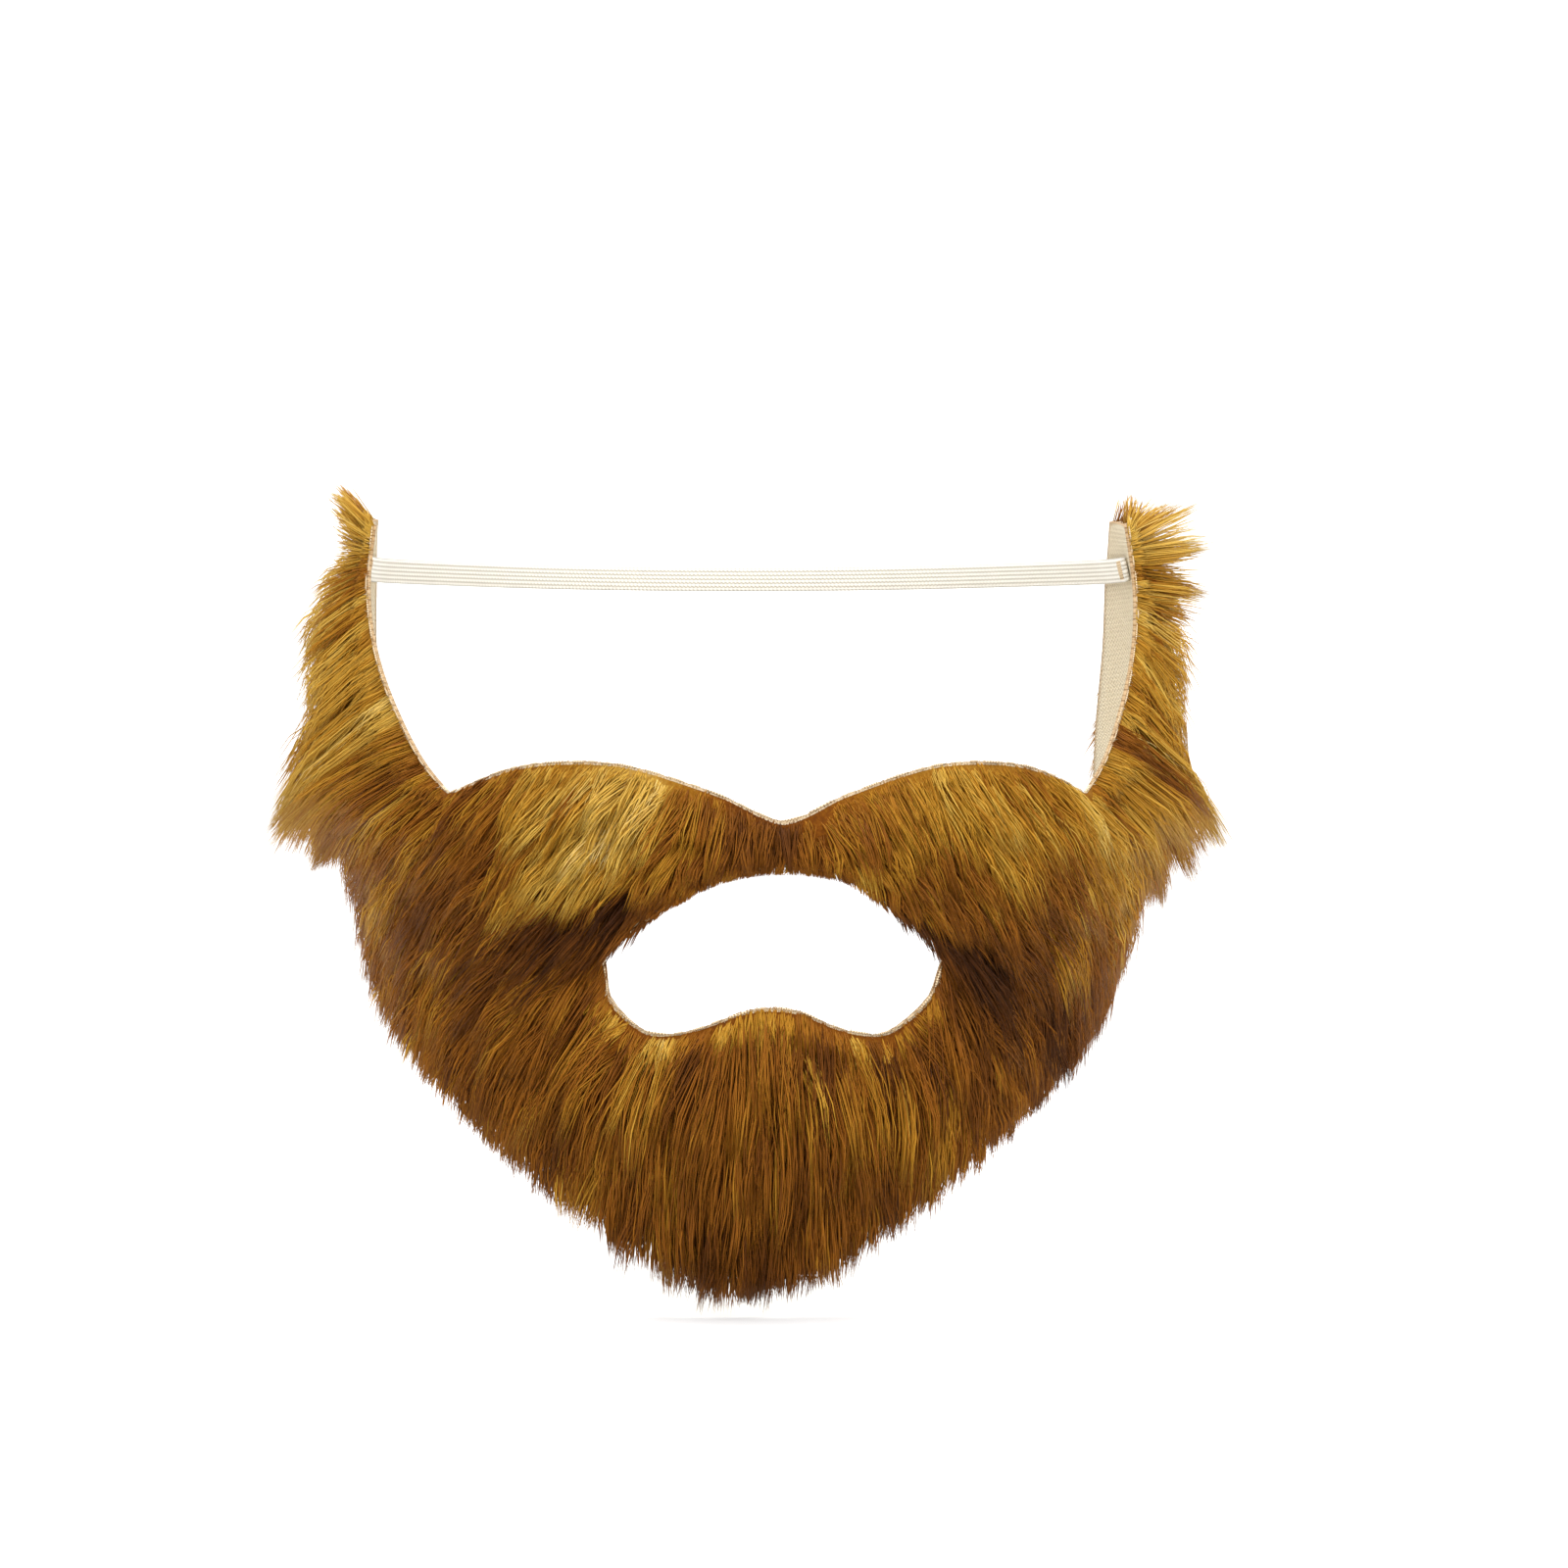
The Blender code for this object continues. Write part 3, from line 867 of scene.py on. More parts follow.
@dataclass
class ClothSheet:
    """Grids over the cut pattern, as a bmesh that remembers each point's place."""

    pattern: CutPattern
    steps_per_line: int = 2
    steps_across: int = 16
    moustache_steps: int = 48
    inset: float = 0.0
    run_points: int = 200
    end_share: float = 0.01
    merge_gap: float = 0.00005

    def grid(self, bm: Bmesh, columns: int, rows: int, place: Callable) -> None:
        """Adds one grid and puts its points in place.

        Args:
            bm: the bmesh that takes the grid.
            columns: faces along it.
            rows: faces across it.
            place: gives turn, height, edge distance and cloth coordinates at shares of the grid.
        """
        made = bmesh.ops.create_grid(bm, x_segments=columns, y_segments=rows, size=0.5)["verts"]
        x, y = np.array([vert.co[:2] for vert in made]).T + 0.5
        values = place(np.round(x * columns) / columns, np.round(y * rows) / rows)
        layers = [bm.verts.layers.float[name] for name in CLOTH_LAYERS]
        chart = bm.loops.layers.uv[CLOTH_MAP]
        skin = self.pattern.head.skin(values[0], values[1])
        for k, vert in enumerate(made):
            vert.co = skin[k]
            for layer, value in zip(layers, values):
                vert[layer] = value[k]
            for loop in vert.link_loops:
                loop[chart].uv = (values[3][k], values[4][k])

    def beard_place(self, x: Array, y: Array) -> tuple[Array, ...]:
        """Values of the beard band.

        Args:
            x: shares of its length.
            y: shares of its width.

        Returns:
            Turns, heights, edge distances and both cloth coordinates.
        """
        pattern = self.pattern
        along = x * pattern.beard_end
        width = pattern.beard_width(along)
        low = np.where(pattern.on_joint(along)[1], 0.0, self.inset / width)
        y = low + (1.0 - low) * y
        turn, height = pattern.beard_at(along, y)
        lines = np.linspace(0.0, pattern.beard_end, self.run_points)
        middle = pattern.head.skin(*pattern.beard_at(lines, 0.5 + 0.0 * lines))
        run = np.interp(along, lines, run_along(middle))
        return turn, height, pattern.beard_inside(along, y), (y - 0.5) * width, run

    def moustache_place(self, x: Array, y: Array) -> tuple[Array, ...]:
        """Values of the moustache strip.

        Args:
            x: shares of its length.
            y: shares of its width, from the mouth up.

        Returns:
            Turns, heights, edge distances and both cloth coordinates.
        """
        pattern = self.pattern
        along, down = x * pattern.moustache_end, 1.0 - y
        free = np.minimum(along, pattern.moustache_end - along) > self.end_share
        pull = np.where(free, self.inset / pattern.moustache_width(along), 0.0)
        down = pull + (1.0 - 2.0 * pull) * down
        turn, height = pattern.moustache_at(along, down)
        inside = np.where(free, pattern.moustache_inside(along, down), 1.0)
        spot = pattern.head.skin(turn, height)
        return turn, height, inside, spot[:, 0], spot[:, 2]

    def flat(self) -> Bmesh:
        """Lays both grids on the head's surface and joins them.

        Returns:
            The sheet, still without a thickness.
        """
        bm = bmesh.new()
        bm.loops.layers.uv.new(CLOTH_MAP)
        for name in CLOTH_LAYERS:
            bm.verts.layers.float.new(name)
        lines = int(self.pattern.beard_end)
        self.grid(bm, lines * self.steps_per_line, self.steps_across, self.beard_place)
        joint = int(self.pattern.joint_end - self.pattern.joint_start) * self.steps_per_line
        self.grid(bm, self.moustache_steps, joint, self.moustache_place)
        bmesh.ops.remove_doubles(bm, verts=bm.verts, dist=self.merge_gap)
        return bm

    def shell(self, near: Callable, far: Callable) -> Bmesh:
        """A closed wall over the sheet.

        Args:
            near: inner distance off the head for turn, height and edge distance.
            far: outer distance, in the same way.

        Returns:
            The wall as a bmesh.
        """
        bm = self.flat()
        outer = extruded(bm)
        outer_set = set(outer)
        inner = [vert for vert in bm.verts if vert not in outer_set]
        layers = [bm.verts.layers.float[name] for name in CLOTH_LAYERS]
        for verts, depth in ((inner, near), (outer, far)):
            turn, height, inside = (np.array([vert[layer] for vert in verts]) for layer in layers)
            points = self.pattern.head.layer(turn, height, depth(turn, height, inside))
            for vert, point in zip(verts, points):
                vert.co = point
        bmesh.ops.recalc_face_normals(bm, faces=bm.faces)
        return bm


@dataclass
class BackingKnit:
    """The one cut sheet of knitted ground cloth."""

    pattern: CutPattern
    thick: float = 0.0008
    area: float = 0.0224
    flat_width: float = 0.250
    flat_length: float = 0.180

    def build(self) -> Piece:
        """Makes the sheet, with its wales and courses in the cloth map.

        Returns:
            The piece.
        """
        bm = ClothSheet(self.pattern).shell(self.inner, self.outer)
        piece = dressed("backing_knit", smooth_mesh("backing_knit", bm), KnitFinish().build(), Slot.CLOTH)
        return piece

    def inner(self, turn: Array, height: Array, inside: Array) -> Array:
        """The wearer's side, flat on the head."""
        return 0.0 * inside

    def outer(self, turn: Array, height: Array, inside: Array) -> Array:
        """The pile side."""
        return self.thick + 0.0 * inside


@dataclass
class Underfur:
    """The dense short fibre that fills the pile below the long hair."""

    pattern: CutPattern
    near: float = 0.0009
    edge: float = 0.0010
    deep: float = 0.0014
    edge_run: float = 0.0100
    inset: float = 0.0008
    steps: tuple[int, int, int] = (3, 20, 72)
    # The tufts' rise, and how fast their two waves run for each degree and each metre.
    tuft_rise: float = 0.0003
    tuft_across: tuple[float, float] = (2.3, 90.0)
    tuft_down: tuple[float, float] = (0.4, 1300.0)

    def build(self) -> Piece:
        """Makes the body, closed all round, with the fur's tone in an attribute.

        Returns:
            The piece.
        """
        bm = ClothSheet(self.pattern, *self.steps, self.inset).shell(self.inner, self.outer)
        layers = [bm.verts.layers.float[name] for name in ("turn", "height")]
        turn, height = (np.array([vert[layer] for vert in bm.verts]) for layer in layers)
        tone = bm.verts.layers.float.new(TONE_LAYER)
        for vert, value in zip(bm.verts, base_tone(self.pattern.head, turn, height)):
            vert[tone] = value
        return dressed("underfur", smooth_mesh("underfur", bm), UnderfurFinish().build(), Slot.PILE)

    def inner(self, turn: Array, height: Array, inside: Array) -> Array:
        """Its side on the cloth."""
        return self.near + 0.0 * inside

    def outer(self, turn: Array, height: Array, inside: Array) -> Array:
        """Its tufted outer side.

        Args:
            turn: turns in degrees.
            height: heights in metres.
            inside: metres to the nearest free edge.

        Returns:
            Distances off the head in metres.
        """
        across, down = (
            np.sin(turn * by_turn + height * by_height)
            for by_turn, by_height in (self.tuft_across, self.tuft_down)
        )
        ramp = smooth(inside, 0.0, self.edge_run)
        return self.edge + (self.deep - self.edge + self.tuft_rise * (across * down)) * ramp


@dataclass
class Roots:
    """Places that hairs grow from.

    Each has its turn and height, its side as -1 or 1, its share of the way from a sideburn's tip
    to the middle and of the way across, whether it is on the moustache, and its metres to the
    nearest free edge and to the outer rim.
    """

    turn: Array
    height: Array
    side: Array
    along: Array
    across: Array
    moustache: Array
    inside: Array
    to_rim: Array


@dataclass
class Grooming:
    """How hairs grow.

    Lean and curl are in degrees. Run over the head, stand off it and reach past the rim are in
    metres, and tone is from 0 to 1.
    """

    lean: Array
    run: Array
    stand: Array
    reach: Array
    tone: Array
    curl: Array


COMB_LEFT = (
    # along, lean, run mm, stand mm, reach mm
    (0.00, 165.0, 8.5, 12.0, 7.0), (0.03, 130.0, 7.0, 11.0, 7.0), (0.05, 80.0, 8.0, 8.0, 7.0),
    (0.08, 50.0, 12.0, 11.0, 6.0), (0.12, 40.0, 15.0, 13.0, 6.0), (0.16, 37.0, 16.0, 12.0, 6.0),
    (0.20, 37.0, 18.0, 12.0, 6.5), (0.25, 42.0, 21.0, 18.0, 9.5), (0.29, 48.0, 23.0, 24.0, 12.0),
    (0.33, 54.0, 17.0, 16.0, 11.0), (0.37, 50.0, 16.0, 9.0, 7.0), (0.44, 46.0, 19.0, 7.0, 5.0),
    (0.54, 43.0, 20.0, 6.5, 4.2), (0.68, 32.0, 20.0, 6.5, 4.4), (0.80, 20.0, 20.0, 6.5, 6.0),
    (0.90, 10.0, 20.0, 6.5, 6.6), (0.96, 4.0, 20.0, 6.5, 5.8), (1.00, 0.0, 20.0, 6.5, 3.6),
)
COMB_RIGHT = (
    (0.00, 165.0, 7.5, 4.0, 7.0), (0.012, 145.0, 7.0, 9.0, 7.0), (0.028, 108.0, 8.0, 18.0, 8.0),
    (0.05, 92.0, 9.0, 20.0, 8.0), (0.09, 72.0, 10.0, 18.0, 7.0), (0.13, 50.0, 12.0, 12.0, 5.0),
    (0.17, 40.0, 16.0, 10.0, 4.0), (0.21, 38.0, 18.0, 10.5, 4.5), (0.25, 42.0, 21.0, 12.5, 8.0),
    (0.29, 50.0, 22.0, 22.0, 12.0), (0.33, 56.0, 17.0, 18.0, 12.0), (0.37, 50.0, 16.0, 12.0, 8.0),
    (0.44, 46.0, 19.0, 7.0, 5.0), (0.54, 43.0, 20.0, 6.5, 4.2), (0.68, 32.0, 20.0, 6.5, 3.8),
    (0.84, 16.0, 20.0, 6.5, 5.0), (0.94, 6.0, 20.0, 6.5, 5.6), (1.00, 0.0, 20.0, 6.5, 3.6),
)
# Tufts whose hairs meet in a point: side, place along and its spread, tip, share drawn to it.
TUFTS = (
    (-1, 0.006, 0.026, (-0.0866, 0.098, 0.0710), 0.62), (-1, 0.105, 0.030, (-0.0925, 0.100, 0.0370), 0.45),
    (-1, 0.275, 0.030, (-0.0992, 0.100, 0.0010), 0.70), (-1, 0.335, 0.022, (-0.0905, 0.098, -0.0080), 0.80),
    (1, 0.000, 0.009, (0.0785, 0.098, 0.0712), 0.75), (1, 0.028, 0.011, (0.0950, 0.104, 0.0706), 0.75),
    (1, 0.052, 0.012, (0.0988, 0.102, 0.0600), 0.75), (1, 0.090, 0.018, (0.0962, 0.100, 0.0500), 0.65),
    (1, 0.278, 0.028, (0.0998, 0.100, -0.0030), 0.78), (1, 0.325, 0.018, (0.0918, 0.098, -0.0122), 0.85),
    (1, 0.365, 0.018, (0.0845, 0.094, -0.0168), 0.85),
)


@dataclass(frozen=True)
class Parting:
    """A line where the moustache's hair ends over the jaw's: x and z in metres."""

    line: tuple[tuple[float, float], ...]

    def rise(self, spot: Array) -> Array:
        """Metres that points lie above the line."""
        x, z = np.array(self.line).T
        return spot[:, 2] - np.interp(spot[:, 0], x, z)

    def spans(self, spot: Array) -> Array:
        """Whether points lie between the line's ends."""
        return (spot[:, 0] > self.line[0][0]) & (spot[:, 0] < self.line[-1][0])

    def faded(self, spot: Array, start: float, end: float) -> Array:
        """How far points are from the line's middle towards its ends.

        Args:
            spot: the points.
            start: where 0 ends, as a share of the half length.
            end: where 1 begins, in the same way.

        Returns:
            Values from 0 to 1.
        """
        middle = 0.5 * (self.line[0][0] + self.line[-1][0])
        half = self.line[-1][0] - middle
        return smooth(np.abs(spot[:, 0] - middle), start * half, end * half)


PARTINGS = (
    Parting(((-0.0470, -0.0105), (-0.0370, -0.0112), (-0.0280, -0.0080), (-0.0205, -0.0052))),
    Parting(((0.0170, -0.0085), (0.0260, -0.0130), (0.0360, -0.0180), (0.0410, -0.0190))),
)
# The shadow below a parting: how dark, its depth, and where it starts, in metres.
PARTING_SHADE = 0.28
PARTING_SHADE_DEPTH = 0.0042
PARTING_SHADE_START = 0.0010
# Lighter and darker places: x, z and radius in metres, and the added tone.
# Besides the fur's own tone, the patches hold painted light: the strong lighter patches on the moustache's
# left carry a painted highlight where the key light falls, and the darker patches on the right jaw and at
# the bottom of the chin are painted shade.
TONE_PATCHES = (
    (-0.034, 0.004, 0.010, 0.30), (-0.026, 0.010, 0.009, 0.24), (-0.040, -0.004, 0.006, 0.14),
    (0.028, 0.008, 0.012, 0.14), (0.044, 0.008, 0.010, 0.10), (0.064, 0.002, 0.010, 0.20),
    (0.016, -0.002, 0.005, 0.26), (-0.006, 0.004, 0.008, -0.15), (0.000, 0.011, 0.006, -0.10),
    (-0.054, 0.008, 0.008, -0.06), (-0.030, -0.014, 0.006, -0.08), (0.038, -0.024, 0.009, -0.16),
    (0.000, -0.037, 0.008, 0.07), (-0.016, -0.041, 0.007, 0.09), (0.016, -0.042, 0.008, 0.09),
    (0.027, -0.042, 0.008, -0.05), (-0.030, -0.040, 0.007, 0.05),
    (0.018, -0.066, 0.012, -0.05), (-0.004, -0.070, 0.012, -0.05), (0.062, -0.028, 0.012, -0.10),
    (-0.066, -0.018, 0.012, 0.04), (-0.078, -0.004, 0.009, 0.02), (0.050, -0.036, 0.010, -0.06),
)


def base_tone(head: HeadShape, turn: Array, height: Array) -> Array:
    """Tone of the fur before anything is random, with painted light and shade in it.

    Args:
        head: the head surface.
        turn: turns in degrees.
        height: heights in metres.

    Returns:
        Tones from 0, darkest, to 1.
    """
    spot = head.skin(turn, height)
    # Lighter from the lip upwards; the darkening towards the bottom of the chin is painted shade.
    tone = 0.375 + 0.325 * smooth(height, -0.004, 0.034) - 0.05 * smooth(-height, 0.045, 0.080)
    for x, z, radius, added in TONE_PATCHES:
        far = ((spot[:, 0] - x) ** 2 + (spot[:, 2] - z) ** 2) / radius**2
        tone = tone + added * np.exp(-far)
    for parting in PARTINGS:
        rise = parting.rise(spot)
        shade = PARTING_SHADE * (1.0 - parting.faded(spot, 0.6, 1.3))
        shade = shade * np.exp(-((rise / PARTING_SHADE_DEPTH) ** 2))
        tone = tone - np.where(rise < PARTING_SHADE_START, shade, 0.0)
    return tone


class Layer(Enum):
    """The three kinds of hair, from the longest."""

    HAIR = "hair"
    FILL = "fill"
    EDGE = "edge"


class Region(Enum):
    """The beard's parts, in the order that their pieces are made."""

    MOUSTACHE = "moustache"
    LEFT_SIDEBURN = "left_sideburn"
    LEFT_JAW = "left_jaw"
    CHIN = "chin"
    RIGHT_JAW = "right_jaw"
    RIGHT_SIDEBURN = "right_sideburn"


@dataclass(frozen=True)
class LayerStyle:
    """How one kind of hair is made.

    It has ring places along a hair and the radius there, a factor on its run, the range of its
    factors on standing off, an added tone, and the share by which it is drawn into its wisp.
    """

    kind: Layer
    count: int
    shares: tuple
    taper: tuple
    run: float
    rank: tuple
    tone: float
    pull: float


@dataclass(frozen=True)
class Variety:
    """How much hairs differ: degrees of lean and curl, tone, and shares of the rest."""

    lean: float
    run: float
    reach: float
    stand: float
    tone: float
    curl: float

    def drawn(self, dice: np.random.Generator, count: int, onto: dict[str, Any]) -> dict[str, Array]:
        """Draws the differences of some hairs.

        Args:
            dice: the seeded generator.
            count: how many hairs.
            onto: what the differences are added to.

        Returns:
            The sums, by name.
        """
        return {key: value * dice.standard_normal(count) + onto[key] for key, value in vars(self).items()}


@dataclass
class HairCoat:
    """The long hair: combed away from the face, drawn into wisps and the wisps into locks."""

    pattern: CutPattern
    seed: int = 11
    locks: int = 900
    wisps: int = 5000
    cloth_top: float = 0.0006
    hair_radius: float = 0.00014
    # Shares of the roots tried on the beard band and on the moustache strip, and the strip's weight.
    band_share: float = 0.80
    strip_share: float = 0.20
    strip_density: float = 1.15
    # Roots at the cut edges: share on the band, shares along the mouth, depths in metres.
    edge_band_share: float = 0.62
    edge_mouth_share: float = 0.45
    edge_depths: tuple[float, float] = (-0.0002, 0.0028)
    # Places along the way from a tip, 0, to the middle of the chin, 1.
    sideburn_end: float = 0.34
    jaw_end: float = 0.70
    jaw_rise: tuple[float, float] = (0.33, 0.42)
    sway_rise: tuple[float, float] = (0.35, 0.60)
    # The pile is lower beside free edges and at the rim: metres of way, and the share it loses.
    edge_run: float = 0.0080
    edge_loss: float = 0.42
    rim_run: float = 0.010
    rim_loss: float = 0.25
    # The moustache's comb: degrees of lean, and millimetres of run and of standing off.
    strip_lean: float = 38.0
    strip_lean_least: float = 3.0
    strip_run: float = 16.5
    strip_run_loss: float = 6.5
    strip_stand: float = 6.2
    # How far the moustache hangs over the mouth in metres: least, more at its ends and on the right.
    hang: float = 0.0016
    hang_ends: float = 0.0200
    hang_right: float = 0.0045
    # Partings in metres: how far above one hairs are shortened, how far past it they go, more at
    # its ends, and what they keep at least.
    parting_above: float = 0.022
    parting_past: float = -0.0015
    parting_past_ends: float = 0.014
    parting_least: float = 0.0035
    # Shares by which wisps are drawn to locks and hairs to wisps, and metres to a tuft at most.
    wisp_pull: float = 0.35
    pull_spread: float = 0.18
    pull_most: float = 0.85
    tuft_pull: float = 0.012
    # The short hairs' added tone beside the chin's cut edge.
    edge_pale: float = 0.19
    styles: tuple = (
        LayerStyle(
            Layer.HAIR, 38000, (0.0, 0.22, 0.58, 1.0), (0.9, 1.0, 0.9, 0.25), 1.0, (0.30, 1.0), 0.0, 0.60
        ),
        # The fill's added tone of -0.10 darkens the lower layer below the long hair: painted shade.
        LayerStyle(Layer.FILL, 18000, (0.0, 0.45, 1.0), (1.0, 1.2, 0.3), 0.72, (0.20, 0.60), -0.10, 0.40),
        LayerStyle(Layer.EDGE, 9000, (0.0, 0.50, 1.0), (0.9, 1.0, 0.3), 0.30, (0.12, 0.50), 0.00, 0.30),
    )
    lock_variety: Variety = Variety(4.5, 0.08, 0.22, 0.13, 0.075, 9.0)
    wisp_variety: Variety = Variety(3.5, 0.07, 0.16, 0.12, 0.065, 8.0)
    hair_variety: Variety = Variety(3.5, 0.08, 0.12, 0.00, 0.030, 8.0)

    def rooted(self, band: Array, along: Array, across: Array) -> Roots:
        """Roots at places of the pattern.

        Args:
            band: true on the beard band, false on the moustache strip.
            along: share of the way from the left to the right.
            across: share of the way across.

        Returns:
            The roots.
        """
        pattern = self.pattern
        u, w = along * pattern.beard_end, along * pattern.moustache_end
        beard, lip = pattern.beard_at(u, across), pattern.moustache_at(w, across)
        near_joint = np.minimum(w, pattern.moustache_end - w)
        inside_m = pattern.moustache_inside(w, across) + 0.02 * smooth(-near_joint, -2.0, 0.0)
        return Roots(
            turn=np.where(band, beard[0], lip[0]),
            height=np.where(band, beard[1], lip[1]),
            side=np.where(along < 0.5, -1.0, 1.0),
            along=1.0 - np.abs(2.0 * along - 1.0),
            across=across,
            moustache=~band,
            inside=np.where(band, pattern.beard_inside(u, across), inside_m),
            to_rim=np.where(band, self.rim_distance(u, across), 1.0),
        )

    def scatter(self, dice: np.random.Generator, count: int, rim_share: float) -> Roots:
        """Roots spread evenly over the sheet.

        Args:
            dice: the seeded generator.
            count: how many.
            rim_share: how much denser they are at the outer edge.

        Returns:
            The roots.
        """
        pattern = self.pattern
        tries = count * 5
        band = dice.random(tries) < self.band_share
        along, across = dice.random(tries), dice.random(tries)
        step = 1e-3
        areas = np.zeros(tries)
        for chosen, at, end in (
            (band, pattern.beard_at, pattern.beard_end),
            (~band, pattern.moustache_at, pattern.moustache_end),
        ):
            x, y = along[chosen] * end, across[chosen]
            spot = pattern.head.skin(*at(x, y))
            run = pattern.head.skin(*at(x + step * end, y)) - spot
            drop = pattern.head.skin(*at(x, y + step)) - spot
            areas[chosen] = np.linalg.norm(np.cross(run, drop), axis=1) / step**2
        weight = areas * np.where(band, 1.0 / self.band_share, 1.0 / self.strip_share)
        weight *= np.where(band, 1.0 + rim_share * smooth(across, 0.6, 1.0), self.strip_density)
        keep = dice.choice(tries, size=count, replace=False, p=weight / weight.sum())
        return self.rooted(band[keep], along[keep], 0.004 + 0.992 * across[keep])

    def edge_scatter(self, dice: np.random.Generator, count: int) -> Roots:
        """Roots within a short way of the cut edges round the face.

        Args:
            dice: the seeded generator.
            count: how many.

        Returns:
            The roots.
        """
        pattern = self.pattern
        band = dice.random(count) < self.edge_band_share
        depth = self.edge_depths[0] + self.edge_depths[1] * dice.random(count) ** 1.3
        start, end, last = pattern.joint_start, pattern.joint_end, pattern.beard_end
        free = dice.random(count) * (last - 2.0 * (end - start))
        u = free + np.where(free > start, end - start, 0.0)
        u = u + np.where(u > last - end, end - start, 0.0)
        along_m = dice.random(count)
        strip_width = pattern.moustache_width(along_m * pattern.moustache_end)
        width = np.where(band, pattern.beard_width(u), strip_width)
        share = np.clip(depth / width, -0.02, 0.45)
        low_edge = dice.random(count) < self.edge_mouth_share
        across = np.where(band | ~low_edge, share, 1.0 - share)
        return self.rooted(band, np.where(band, u / last, along_m), across)

    def rim_distance(self, u: Array, across: Array) -> Array:
        """Metres to the outer edge, square to it.

        Args:
            u: section index.
            across: 0 at the inner edge, 1 at the outer.

        Returns:
            Distances in metres.
        """
        pattern = self.pattern
        spot = pattern.head.skin(*pattern.beard_at(u, across))
        rim = pattern.head.skin(*pattern.beard_at(u, np.ones_like(u)))
        tangent = unit(pattern.head.skin(*pattern.beard_at(u + 0.05, np.ones_like(u))) - rim)
        gap = rim - spot
        gap = gap - tangent * np.sum(gap * tangent, axis=1, keepdims=True)
        return np.linalg.norm(gap, axis=1)

    def groom(self, roots: Roots) -> Grooming:
        """The combed flow at roots, before anything is random.

        Args:
            roots: the roots.

        Returns:
            The grooming.
        """
        left, right = np.array(COMB_LEFT), np.array(COMB_RIGHT)
        lean, run, stand, reach = (
            np.where(
                roots.side < 0,
                np.interp(roots.along, left[:, 0], left[:, k]),
                np.interp(roots.along, right[:, 0], right[:, k]),
            )
            for k in (1, 2, 3, 4)
        )
        edge = smooth(roots.inside, 0.0, self.edge_run)
        on_jaw = smooth(roots.along, *self.jaw_rise)
        stand = stand * (1.0 - on_jaw * self.edge_loss * (1.0 - edge))
        at_rim = smooth(-roots.to_rim, -self.rim_run, 0.0) * on_jaw
        stand = stand * (1.0 - self.rim_loss * at_rim)
        outward = self.strip_lean * (1.0 - roots.along) ** 0.8 + self.strip_lean_least
        lean = np.where(roots.moustache, outward, lean)
        run = np.where(roots.moustache, self.strip_run - self.strip_run_loss * roots.along, run)
        stand = np.where(roots.moustache, self.strip_stand * (0.55 + 0.45 * edge), stand)
        tone = base_tone(self.pattern.head, roots.turn, roots.height)
        return Grooming(lean, run * MM, stand * MM, reach * MM, tone, 0.0 * lean)

    def limit(self, roots: Roots, groom: Grooming) -> None:
        """Shortens hairs so that their tips end where the outline, the mouth and the partings do.

        Args:
            roots: the roots.
            groom: their grooming, whose runs change.
        """
        head, pattern = self.pattern.head, self.pattern
        place = np.where(roots.side < 0, roots.along, 2.0 - roots.along) / 2.0
        u, w = place * pattern.beard_end, place * pattern.moustache_end
        ones = np.ones_like(u)
        rim = head.skin(*pattern.beard_at(u, ones))
        ahead, behind = (head.skin(*pattern.beard_at(u + step, ones)) for step in (0.1, -0.1))
        tangent = unit(ahead - behind)
        inward = head.skin(*pattern.beard_at(u, 0.9 * ones)) - rim
        square = -unit(inward - tangent * np.sum(inward * tangent, axis=1, keepdims=True))
        turn, height = self.step(roots.turn, roots.height, roots.side, groom.lean, 0.002)
        spot = head.skin(roots.turn, roots.height)
        flow = unit(head.skin(turn, height) - spot)
        rate = np.clip(np.sum(flow * square, axis=1), 0.25, 1.0)
        most = np.where(roots.moustache, 1.0, (roots.to_rim + groom.reach) / rate)
        straight = np.clip(np.cos(np.radians(groom.lean)), 0.5, 1.0)
        hang = self.hang + self.hang_ends * smooth(-roots.along, -0.34, -0.04)
        hang = hang + self.hang_right * np.exp(-(((roots.along - 0.42) / 0.12) ** 2)) * (roots.side > 0)
        over = ((1.0 - roots.across) * pattern.moustache_width(w) + hang) / straight
        most = np.where(roots.moustache, np.minimum(most, over), most)
        for parting in PARTINGS:
            rise = parting.rise(spot)
            above = parting.spans(spot) & (rise > 0.0) & (rise < self.parting_above)
            past = 0.75 * groom.reach + self.parting_past
            past = past + self.parting_past_ends * parting.faded(spot, 0.55, 1.0)
            room = np.maximum((rise + past) / straight, self.parting_least)
            most = np.where(above, np.minimum(most, room), most)
        groom.run = np.minimum(groom.run, most)

    def step(
        self, turn: Array, height: Array, side: Array, lean: Array, distance: float | Array
    ) -> tuple[Array, Array]:
        """One step over the head.

        Args:
            turn: turns in degrees.
            height: heights in metres.
            side: -1 on the left and 1 on the right.
            lean: degrees from straight down towards the ear.
            distance: metres.

        Returns:
            Turns in degrees and heights in metres.
        """
        half_width, depth = self.pattern.head.level_at(height)
        sway = np.degrees(distance * np.sin(np.radians(lean)) / (0.5 * (half_width + depth)))
        return turn + side * sway, height - distance * np.cos(np.radians(lean))

    def paths(self, roots: Roots, groom: Grooming, shares: Array) -> tuple[Array, Array]:
        """Centre lines of hairs.

        Args:
            roots: where they start.
            groom: how they grow.
            shares: places along each hair.

        Returns:
            Points and surface normals, (hair, ring, 3).
        """
        head = self.pattern.head
        turn, height = roots.turn, roots.height
